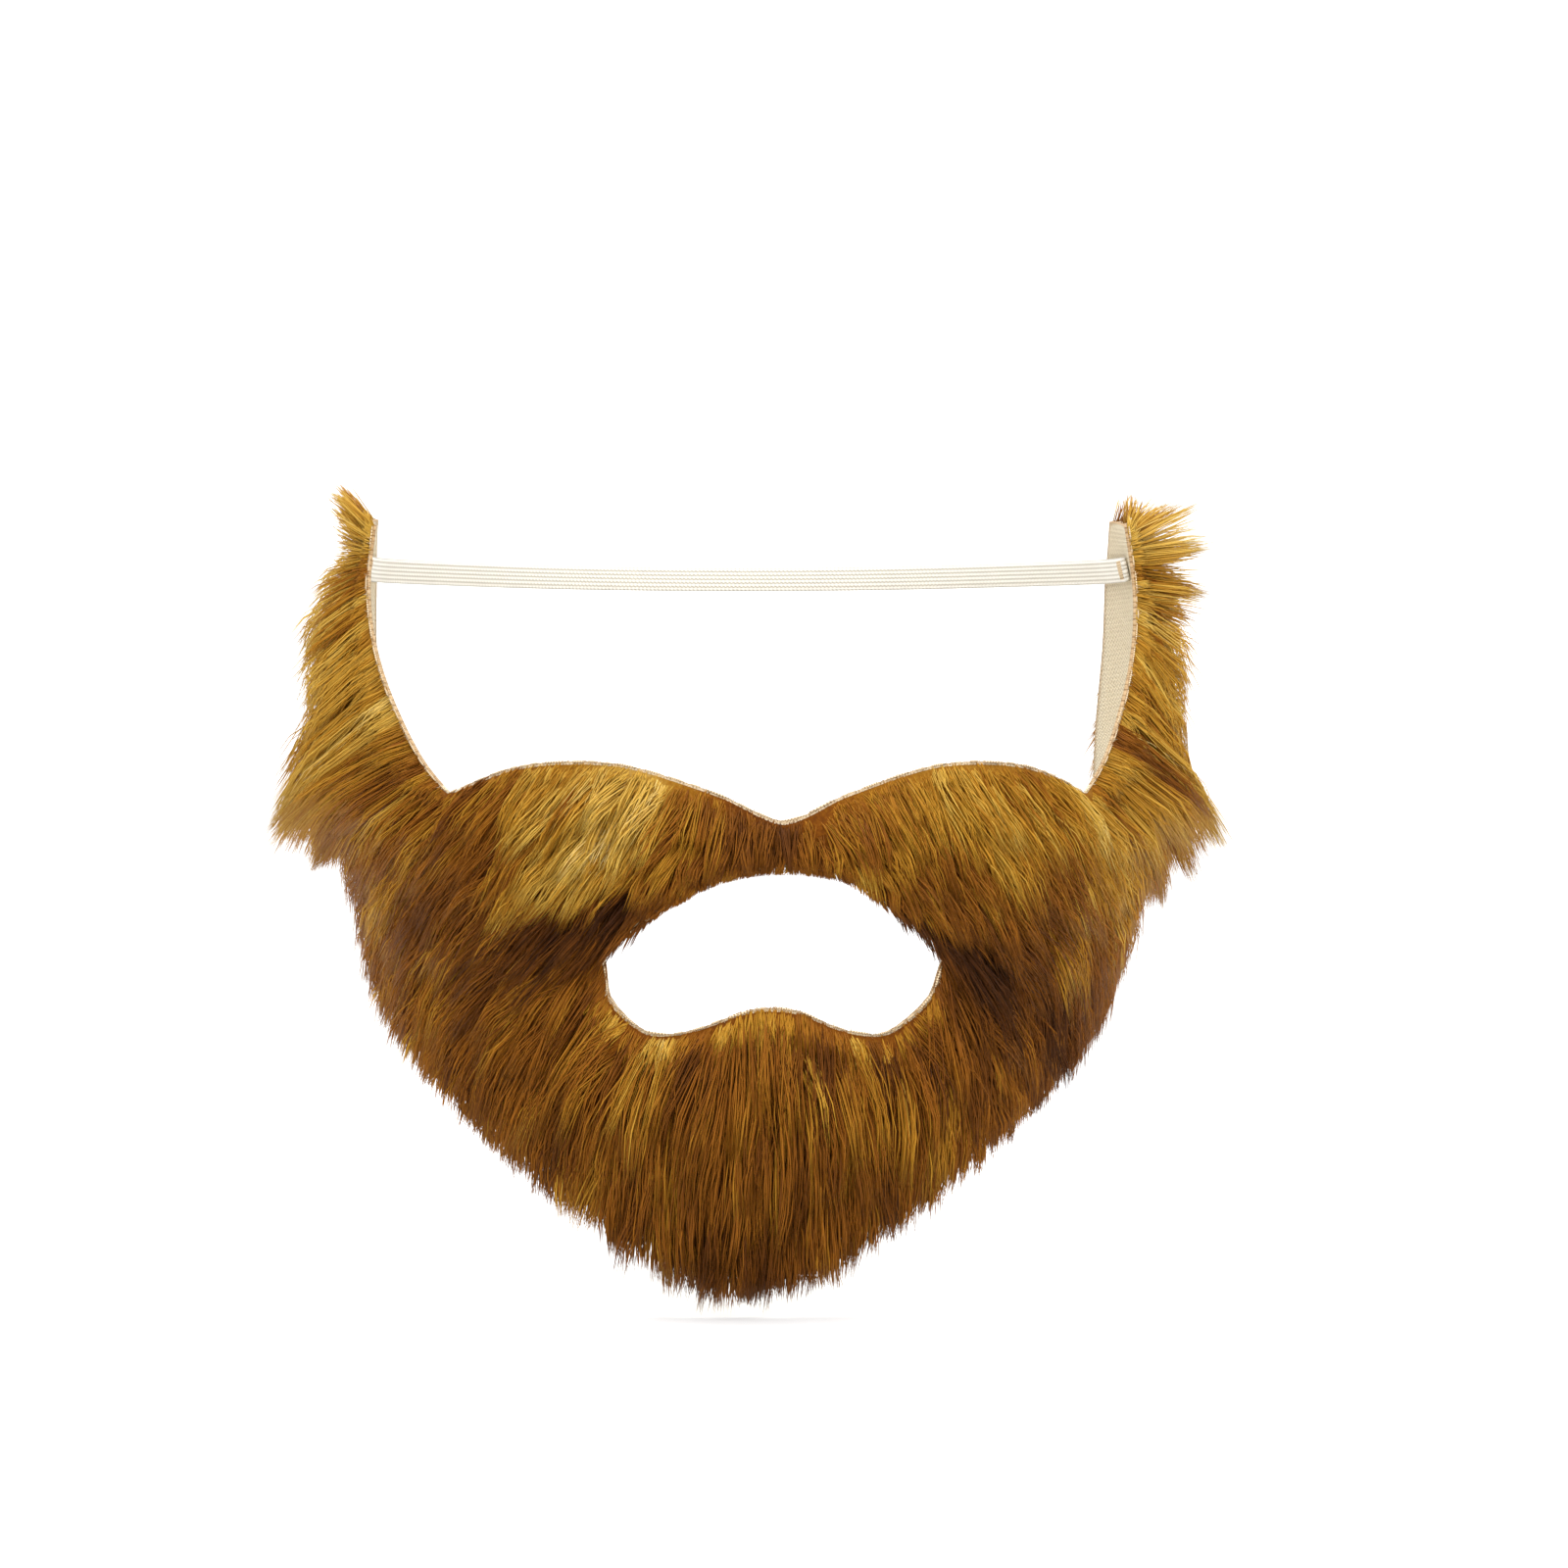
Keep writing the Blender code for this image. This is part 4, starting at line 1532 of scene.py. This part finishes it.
        # A hair that stands up bends over evenly, and one that lies flat does so near its root.
        power = np.clip(2.9 - 1.6 * groom.stand / np.maximum(groom.run, MM), 1.25, 2.5)
        points, normals = [], []
        for k, t in enumerate(shares):
            if k:
                middle = 0.5 * (t + shares[k - 1])
                lean = groom.lean + groom.curl * (middle - 0.5)
                turn, height = self.step(turn, height, roots.side, lean, groom.run * (t - shares[k - 1]))
            rise = groom.stand * (1.0 - (1.0 - t) ** power)
            points.append(head.layer(turn, height, self.cloth_top + rise))
            normals.append(head.outward(turn, height))
        return np.stack(points, axis=1), np.stack(normals, axis=1)

    @staticmethod
    def nearest(points: Array, centres: Array) -> Array:
        """Index of the nearest centre for each point.

        Args:
            points: the points.
            centres: the centres.

        Returns:
            One index for each point.
        """
        found = []
        for block in np.array_split(points, max(1, len(points) // 2000)):
            far = np.sum(centres**2, axis=1) - 2.0 * block @ centres.T
            found.append(np.argmin(far, axis=1))
        return np.concatenate(found)

    def groomed(self, roots: Roots, added: dict[str, Array], shares: Array) -> tuple[Array, Array]:
        """Centre lines of hairs whose grooming is varied.

        Args:
            roots: where they start.
            added: what is added to lean and curl, and factors on run, stand and reach.
            shares: places along each hair.

        Returns:
            Points and surface normals, (hair, ring, 3).
        """
        groom = self.groom(roots)
        groom.lean = groom.lean + added["lean"] * (1.0 + 0.6 * smooth(roots.along, *self.sway_rise))
        groom.curl = groom.curl + added["curl"]
        groom.reach = groom.reach * np.clip(added["reach"], 0.1, 1.6)
        groom.run = groom.run * np.clip(added["run"], 0.15, 1.5)
        self.limit(roots, groom)
        groom.stand = groom.stand * np.clip(added["stand"], 0.04, 1.25)
        short = smooth(groom.run, 0.0, 0.012)
        groom.stand = groom.stand * (0.45 + 0.55 * short)
        return self.paths(roots, groom, shares)

    def grow(self) -> list[tuple[LayerStyle, Roots, Strands]]:
        """Grows the hairs of every kind.

        Returns:
            Each kind's style, its roots and its strands.
        """
        dice = np.random.default_rng(self.seed)
        head = self.pattern.head
        lock_roots = self.scatter(dice, self.locks, 0.6)
        wisp_roots = self.scatter(dice, self.wisps, 0.5)
        wisp_spots = head.skin(wisp_roots.turn, wisp_roots.height)
        even = {"lean": 0.0, "run": 1.0, "reach": 0.95, "stand": 0.92, "tone": 0.0, "curl": 0.0}
        lock = self.lock_variety.drawn(dice, self.locks, even)
        home = self.nearest(wisp_spots, head.skin(lock_roots.turn, lock_roots.height))
        wisp = self.wisp_variety.drawn(dice, self.wisps, {key: lock[key][home] for key in lock})
        made = []
        for style in self.styles:
            shares = np.array(style.shares)
            t = shares[None, :, None]
            lock_lines = self.groomed(lock_roots, lock, shares)[0]
            wisp_lines = self.groomed(wisp_roots, wisp, shares)[0]
            wisp_lines = wisp_lines + self.wisp_pull * t**1.4 * (lock_lines[home] - wisp_lines)
            if style.kind is Layer.EDGE:
                roots = self.edge_scatter(dice, style.count)
            else:
                roots = self.scatter(dice, style.count, 0.25)
            near = self.nearest(head.skin(roots.turn, roots.height), wisp_spots)
            own = self.hair_variety.drawn(dice, style.count, {key: wisp[key][near] for key in wisp})
            self.ranked(dice, style, roots, own)
            lines, normals = self.groomed(roots, own, shares)
            pull = style.pull + self.pull_spread * dice.standard_normal(style.count)
            pull = np.clip(pull, 0.0, self.pull_most)
            if style.kind is Layer.HAIR:
                target = wisp_lines[near] - lines
                out = np.sum(target * normals, axis=2, keepdims=True) * normals
                lines = lines + pull[:, None, None] * t**1.1 * (target - 0.7 * out)
            if style.kind is not Layer.EDGE:
                lines = self.tufted(roots, lines, t)
            radii = self.hair_radius * np.array(style.taper) * dice.uniform(0.75, 1.25, (style.count, 1))
            tone = self.groom(roots).tone + own["tone"]
            made.append((style, roots, Strands(lines, normals, radii, tone, shares)))
        return made

    def ranked(
        self, dice: np.random.Generator, style: LayerStyle, roots: Roots, own: dict[str, Array]
    ) -> None:
        """Sets how high and how far the hairs of one kind grow, and their tone.

        Args:
            dice: the seeded generator.
            style: the kind.
            roots: where the hairs start.
            own: what they have of their own, which changes.
        """
        low, high = style.rank
        own["stand"] = own["stand"] * (low + (high - low) * dice.random(style.count) ** 0.7)
        own["run"] = own["run"] * style.run
        if style.kind is Layer.EDGE:
            own["run"] = own["run"] * dice.uniform(0.5, 1.5, style.count)
            at_chin = smooth(roots.along, 0.60, 0.75) * ~roots.moustache
            own["tone"] = own["tone"] + self.edge_pale * at_chin
        own["tone"] = own["tone"] + style.tone

    def tufted(self, roots: Roots, lines: Array, t: Array) -> Array:
        """Draws the sideburns' hairs into their tufts.

        Args:
            roots: where the hairs start.
            lines: their centre lines.
            t: places along each hair, ready to multiply the lines.

        Returns:
            The drawn lines.
        """
        for side, place, spread, tip, share in TUFTS:
            near = np.exp(-(((roots.along - place) / spread) ** 2)) * (roots.side == side)
            near = near * ~roots.moustache
            shift = np.array(tip) - lines[:, -1]
            far = np.linalg.norm(shift, axis=1, keepdims=True)
            shift = shift * np.minimum(1.0, self.tuft_pull / np.maximum(far, 1e-6))
            lines = lines + (share * near)[:, None, None] * t**1.5 * shift[:, None]
        return lines

    def regions(self, roots: Roots) -> dict[Region, Array]:
        """Sorts roots by the beard's parts.

        Args:
            roots: the roots.

        Returns:
            For each part, which roots are its own.
        """
        left, beard = roots.side < 0, ~roots.moustache
        burn = beard & (roots.along < self.sideburn_end)
        jaw = beard & ~burn & (roots.along < self.jaw_end)
        owned = (roots.moustache, burn & left, jaw & left, beard & ~burn & ~jaw, jaw & ~left, burn & ~left)
        return dict(zip(Region, owned))

    def build(self) -> list[Piece]:
        """Makes one piece for each kind of hair on each part.

        Returns:
            The pieces.
        """
        finish = HairFinish().build()
        pieces = []
        for style, roots, strands in self.grow():
            for region, own in self.regions(roots).items():
                name = f"{region.value}_{style.kind.value}"
                pieces.append(dressed(name, strands.chosen(own).mesh(name), finish, Slot.PILE))
        return pieces


@dataclass
class CutEdge:
    """The pale cut edge of the cloth round the face: short yarn lengths and frayed ends."""

    pattern: CutPattern
    seed: int = 5
    route_points: int = 400
    yarn_radius: float = 0.00018
    yarn_sides: int = 7
    yarn_lengths: tuple[float, float] = (0.0018, 0.0065)
    yarn_gaps: tuple[float, float] = (0.0002, 0.0016)
    yarn_rest: float = 0.0010
    yarn_offset: float = 0.0007
    yarn_lift: float = 0.0003
    yarn_shift: float = 0.00005
    yarn_taper: tuple = (0.8, 1.0, 1.0, 0.5)
    fray_radius: float = 0.00007
    frays_per_metre: float = 1400.0
    fray_offset: float = 0.0006
    fray_reach: tuple[float, float] = (0.0004, 0.0016)
    fray_taper: tuple = (1.0, 0.8, 0.3)

    def routes(self) -> list[Array]:
        """Follows every free edge that shows.

        Returns:
            Turns and heights along each edge, (point, 2).
        """
        pattern = self.pattern
        start, end, last = pattern.joint_start, pattern.joint_end, pattern.beard_end
        dense = np.linspace(0.0, 1.0, self.route_points)
        ends = 0.0 * dense
        routes = [
            pattern.beard_at(dense * start, ends),
            pattern.moustache_at(dense * pattern.moustache_end, ends),
            pattern.beard_at(last - dense * start, ends),
            pattern.moustache_at(dense * pattern.moustache_end, ends + 1.0),
            pattern.beard_at(end + dense * (last - 2.0 * end), ends),
            pattern.beard_at(ends, dense),
            pattern.beard_at(last + ends, dense),
        ]
        return [np.stack(route, axis=1) for route in routes]

    def yarns(
        self, dice: np.random.Generator, route: Array, run: Array
    ) -> tuple[list[Array], list[Array]]:
        """Lays yarn lengths end to end along one edge.

        Args:
            dice: the seeded generator.
            route: turns and heights along the edge.
            run: metres along it.

        Returns:
            Their centre lines and surface normals.
        """
        head, rings = self.pattern.head, len(self.yarn_taper)
        lines, normals = [], []
        place = 0.0
        while place < run[-1] - self.yarn_rest:
            length = dice.uniform(*self.yarn_lengths)
            ends = np.minimum(place + np.linspace(0.0, length, rings), run[-1])
            place += length + dice.uniform(*self.yarn_gaps)
            turn, height = (np.interp(ends, run, side) for side in route.T)
            line = head.layer(turn, height, self.yarn_offset + dice.uniform(0.0, self.yarn_lift))
            straight = line[:1] + (line[-1:] - line[:1]) * np.linspace(0.0, 1.0, rings)[:, None]
            lines.append(0.6 * straight + 0.4 * line + dice.normal(0.0, self.yarn_shift, (1, 3)))
            normals.append(head.outward(turn, height))
        return lines, normals

    def frays(self, dice: np.random.Generator, route: Array, run: Array) -> tuple[Array, Array]:
        """Scatters frayed ends along one edge.

        Args:
            dice: the seeded generator.
            route: turns and heights along the edge.
            run: metres along it.

        Returns:
            Their centre lines and surface normals.
        """
        head, rings = self.pattern.head, len(self.fray_taper)
        count = int(self.frays_per_metre * run[-1])
        places = dice.uniform(0.0, run[-1], count)
        turn, height = (np.interp(places, run, side) for side in route.T)
        out = head.outward(turn, height)
        way = unit(0.8 * unit(dice.normal(0.0, 1.0, (count, 3))) + 0.5 * out)
        reach = dice.uniform(*self.fray_reach, count)[:, None]
        root = head.layer(turn, height, np.full(count, self.fray_offset))
        t = np.linspace(0.0, 1.0, rings)[None, :, None]
        return root[:, None] + way[:, None] * reach[:, None] * t, np.repeat(out[:, None], rings, axis=1)

    def build(self) -> list[Piece]:
        """Makes the yarn lengths and the frayed ends.

        Returns:
            The two pieces.
        """
        dice = np.random.default_rng(self.seed)
        yarn_lines, yarn_normals, fray_lines, fray_normals = [], [], [], []
        for route in self.routes():
            run = run_along(self.pattern.head.skin(route[:, 0], route[:, 1]))
            lines, normals = self.yarns(dice, route, run)
            yarn_lines += lines
            yarn_normals += normals
            lines, normals = self.frays(dice, route, run)
            fray_lines.append(lines)
            fray_normals.append(normals)
        yarn, fray = np.stack(yarn_lines), np.concatenate(fray_lines)
        thick = self.yarn_radius * np.array(self.yarn_taper) * dice.uniform(0.8, 1.2, (len(yarn), 1))
        thin = self.fray_radius * np.array(self.fray_taper) * np.ones((len(fray), 1))
        thirds, halves = (np.linspace(0.0, 1.0, len(taper)) for taper in (self.yarn_taper, self.fray_taper))
        yarn_tones, fray_tones = dice.random(len(yarn)), dice.random(len(fray))
        made = {
            "cut_edge_yarn": Strands(
                yarn, np.stack(yarn_normals), thick, yarn_tones, thirds, 0.8, self.yarn_sides
            ),
            "cut_edge_fray": Strands(fray, np.concatenate(fray_normals), thin, fray_tones, halves),
        }
        finish = YarnFinish().build()
        return [dressed(name, strands.mesh(name), finish, Slot.CLOTH) for name, strands in made.items()]


@dataclass
class ElasticStrap:
    """The flat elastic round the back of the head, with the bar tacks that hold its ends."""

    head: HeadShape
    width: float = 0.0050
    thick: float = 0.0009
    gap: float = 0.0003
    height: float = 0.0560
    start_deg: float = 96.0
    steps: int = 96
    steps_across: int = 6
    edge_thinning: float = 0.35
    weave_length: float = 0.27
    tack_radius: float = 0.00016
    tack_taper: tuple = (0.6, 1.0, 1.0, 1.0, 0.6)
    tack_start_deg: float = 1.5
    tack_step_deg: float = 0.35
    tack_lengths: int = 14
    tack_half: float = 0.0019
    tack_lift: float = 0.00005

    def turns(self, share: Array) -> Array:
        """Turns from -180 to 180 degrees at shares of the strap."""
        turn = self.start_deg + (360.0 - 2.0 * self.start_deg) * share
        return np.where(turn <= 180.0, turn, turn - 360.0)

    def build(self) -> list[Piece]:
        """Makes the strap and its tacks.

        Returns:
            The two pieces.
        """
        bm = bmesh.new()
        grid = bmesh.ops.create_grid(bm, x_segments=self.steps, y_segments=self.steps_across, size=0.5)
        chart = bm.loops.layers.uv.new(WEAVE_MAP)
        for face in bm.faces:
            for loop in face.loops:
                loop[chart].uv = ((loop.vert.co.x + 0.5) * self.weave_length, loop.vert.co.y + 0.5)
        far = extruded(bm)
        for verts, side in ((grid["verts"], -1.0), (far, 1.0)):
            share, rise = np.array([vert.co[:2] for vert in verts]).T
            turn = self.turns(share + 0.5)
            crown = 1.0 - (2.0 * np.abs(rise)) ** 4 * self.edge_thinning
            depth = self.gap + 0.5 * self.thick * (1.0 + side * crown)
            skin = self.head.skin(turn, self.height + rise * self.width)
            normal = self.head.outward(turn, np.full_like(turn, self.height))
            for vert, point in zip(verts, skin - normal * depth[:, None]):
                vert.co = point
        bmesh.ops.recalc_face_normals(bm, faces=bm.faces)
        mesh = smooth_mesh("braided_elastic", bm)
        return [dressed("braided_elastic", mesh, ElasticFinish().build(), Slot.ELASTIC), self.tacks()]

    def tacks(self) -> Piece:
        """Makes zigzag bar tacks through both ends of the strap.

        Returns:
            The piece.
        """
        points = len(self.tack_taper)
        depth = np.full(points, -self.gap - self.thick - self.tack_lift)
        lines, normals = [], []
        for sign in (1.0, -1.0):
            for k in range(self.tack_lengths):
                first = self.start_deg + self.tack_start_deg + self.tack_step_deg * (k // 2)
                turn = sign * (first + np.linspace(0.0, self.tack_step_deg * (k % 2), points))
                rise = np.linspace(-self.tack_half, self.tack_half, points) * (1.0 if k % 2 else -1.0)
                lines.append(self.head.layer(turn, self.height + rise, depth))
                normals.append(-self.head.outward(turn, self.height + rise))
        radii = self.tack_radius * np.array(self.tack_taper) * np.ones((len(lines), 1))
        tones, places = np.full(len(lines), 0.5), np.linspace(0.0, 1.0, points)
        thread = Strands(np.stack(lines), np.stack(normals), radii, tones, places, 0.8, 6)
        finish = YarnFinish("tack_thread").build()
        return dressed("strap_stitches", thread.mesh("strap_stitches"), finish, Slot.ELASTIC)


@dataclass(frozen=True)
class Lamp:
    """A square soft light: where it hangs, its side in metres, its watts and what it faces."""

    name: str
    place: tuple[float, float, float]
    size: float
    power: float
    target: tuple[float, float, float] = (0.0, 0.03, 0.0)

    def hang(self) -> None:
        """Makes the light and turns it to its target."""
        lamp = bpy.data.lights.new(self.name, "AREA")
        lamp.size = self.size
        lamp.energy = self.power
        made = bpy.data.objects.new(self.name, lamp)
        made.location = self.place
        aim = Vector(self.target) - Vector(self.place)
        made.rotation_euler = aim.to_track_quat("-Z", "Y").to_euler()
        bpy.context.scene.collection.objects.link(made)


@dataclass
class Studio:
    """Pale paper sweep, soft lights and the camera."""

    azimuth: float = -4.0
    distance: float = 1.270
    eye_height: float = 0.0115
    lens: float = 153.6
    sensor: float = 36.0
    sweep_start: float = 1.60
    sweep_radius: float = 0.60
    sweep_steps: int = 72
    sheet_half: float = 3.0
    surround: float = 0.55
    lamps: tuple[Lamp, ...] = (
        Lamp("key", (-0.55, -1.10, 0.95), 1.0, 14.0),
        Lamp("fill", (0.85, -0.95, 0.35), 1.1, 8.0),
        Lamp("top", (0.0, 0.05, 1.10), 0.9, 8.0),
        Lamp("rim", (0.0, 0.95, 0.60), 1.0, 5.0),
        Lamp("backdrop", (0.0, 0.90, 1.30), 1.6, 28.0, (0.0, 2.20, 0.10)),
    )

    def build(self) -> None:
        """Makes the stage, the lights and the camera."""
        self.paper()
        for lamp in self.lamps:
            lamp.hang()
        world = bpy.data.worlds.new("studio")
        world.use_nodes = True
        background = world.node_tree.nodes["Background"].inputs
        background["Color"].default_value = (1.0, 1.0, 1.0, 1.0)
        background["Strength"].default_value = self.surround
        bpy.context.scene.world = world
        bpy.context.scene.view_settings.view_transform = "Standard"
        self.camera()

    def paper(self) -> None:
        """A floor that the beard stands on, curving up behind it."""
        bm = bmesh.new()
        floor = min(CAD_BOX[0][2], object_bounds()[0][2])
        bmesh.ops.create_grid(bm, x_segments=1, y_segments=self.sweep_steps, size=self.sheet_half)
        for vert in bm.verts:
            run = vert.co.y
            bend = max(0.0, run - self.sweep_start) / self.sweep_radius
            turned = min(bend, math.pi / 2)
            vert.co.y = min(run, self.sweep_start) + self.sweep_radius * math.sin(turned)
            vert.co.z = floor + self.sweep_radius * (1.0 - math.cos(turned) + bend - turned)
        mesh = smooth_mesh("paper_sweep", bm)
        mesh.materials.append(StageFinish().build())
        paper = bpy.data.objects.new("paper_sweep", mesh)
        bpy.context.scene.collection.objects.link(paper)
        paper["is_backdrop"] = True

    def camera(self) -> None:
        """The camera, level and slightly to the left of the beard's front."""
        angle = math.radians(self.azimuth)
        data = bpy.data.cameras.new("camera")
        data.lens = self.lens
        data.sensor_width = self.sensor
        made = bpy.data.objects.new("camera", data)
        made.location = (math.sin(angle) * self.distance, -math.cos(angle) * self.distance, self.eye_height)
        made.rotation_euler = (math.pi / 2, 0.0, angle)
        bpy.context.scene.collection.objects.link(made)
        bpy.context.scene.camera = made


def main() -> None:
    """Builds the sub-assemblies in order and the studio, and logs each piece's triangles."""
    logging.basicConfig(level=logging.INFO, format="%(message)s")
    pattern = CutPattern()
    pieces = [BackingKnit(pattern).build(), Underfur(pattern).build()]
    pieces += HairCoat(pattern).build()
    pieces += CutEdge(pattern).build()
    pieces += ElasticStrap(pattern.head).build()
    Studio().build()
    for piece in pieces:
        triangles = sum(len(face.vertices) - 2 for face in piece.data.polygons)
        LOG.info("%s: %d triangles", piece.name, triangles)


if __name__ == "__main__":
    main()
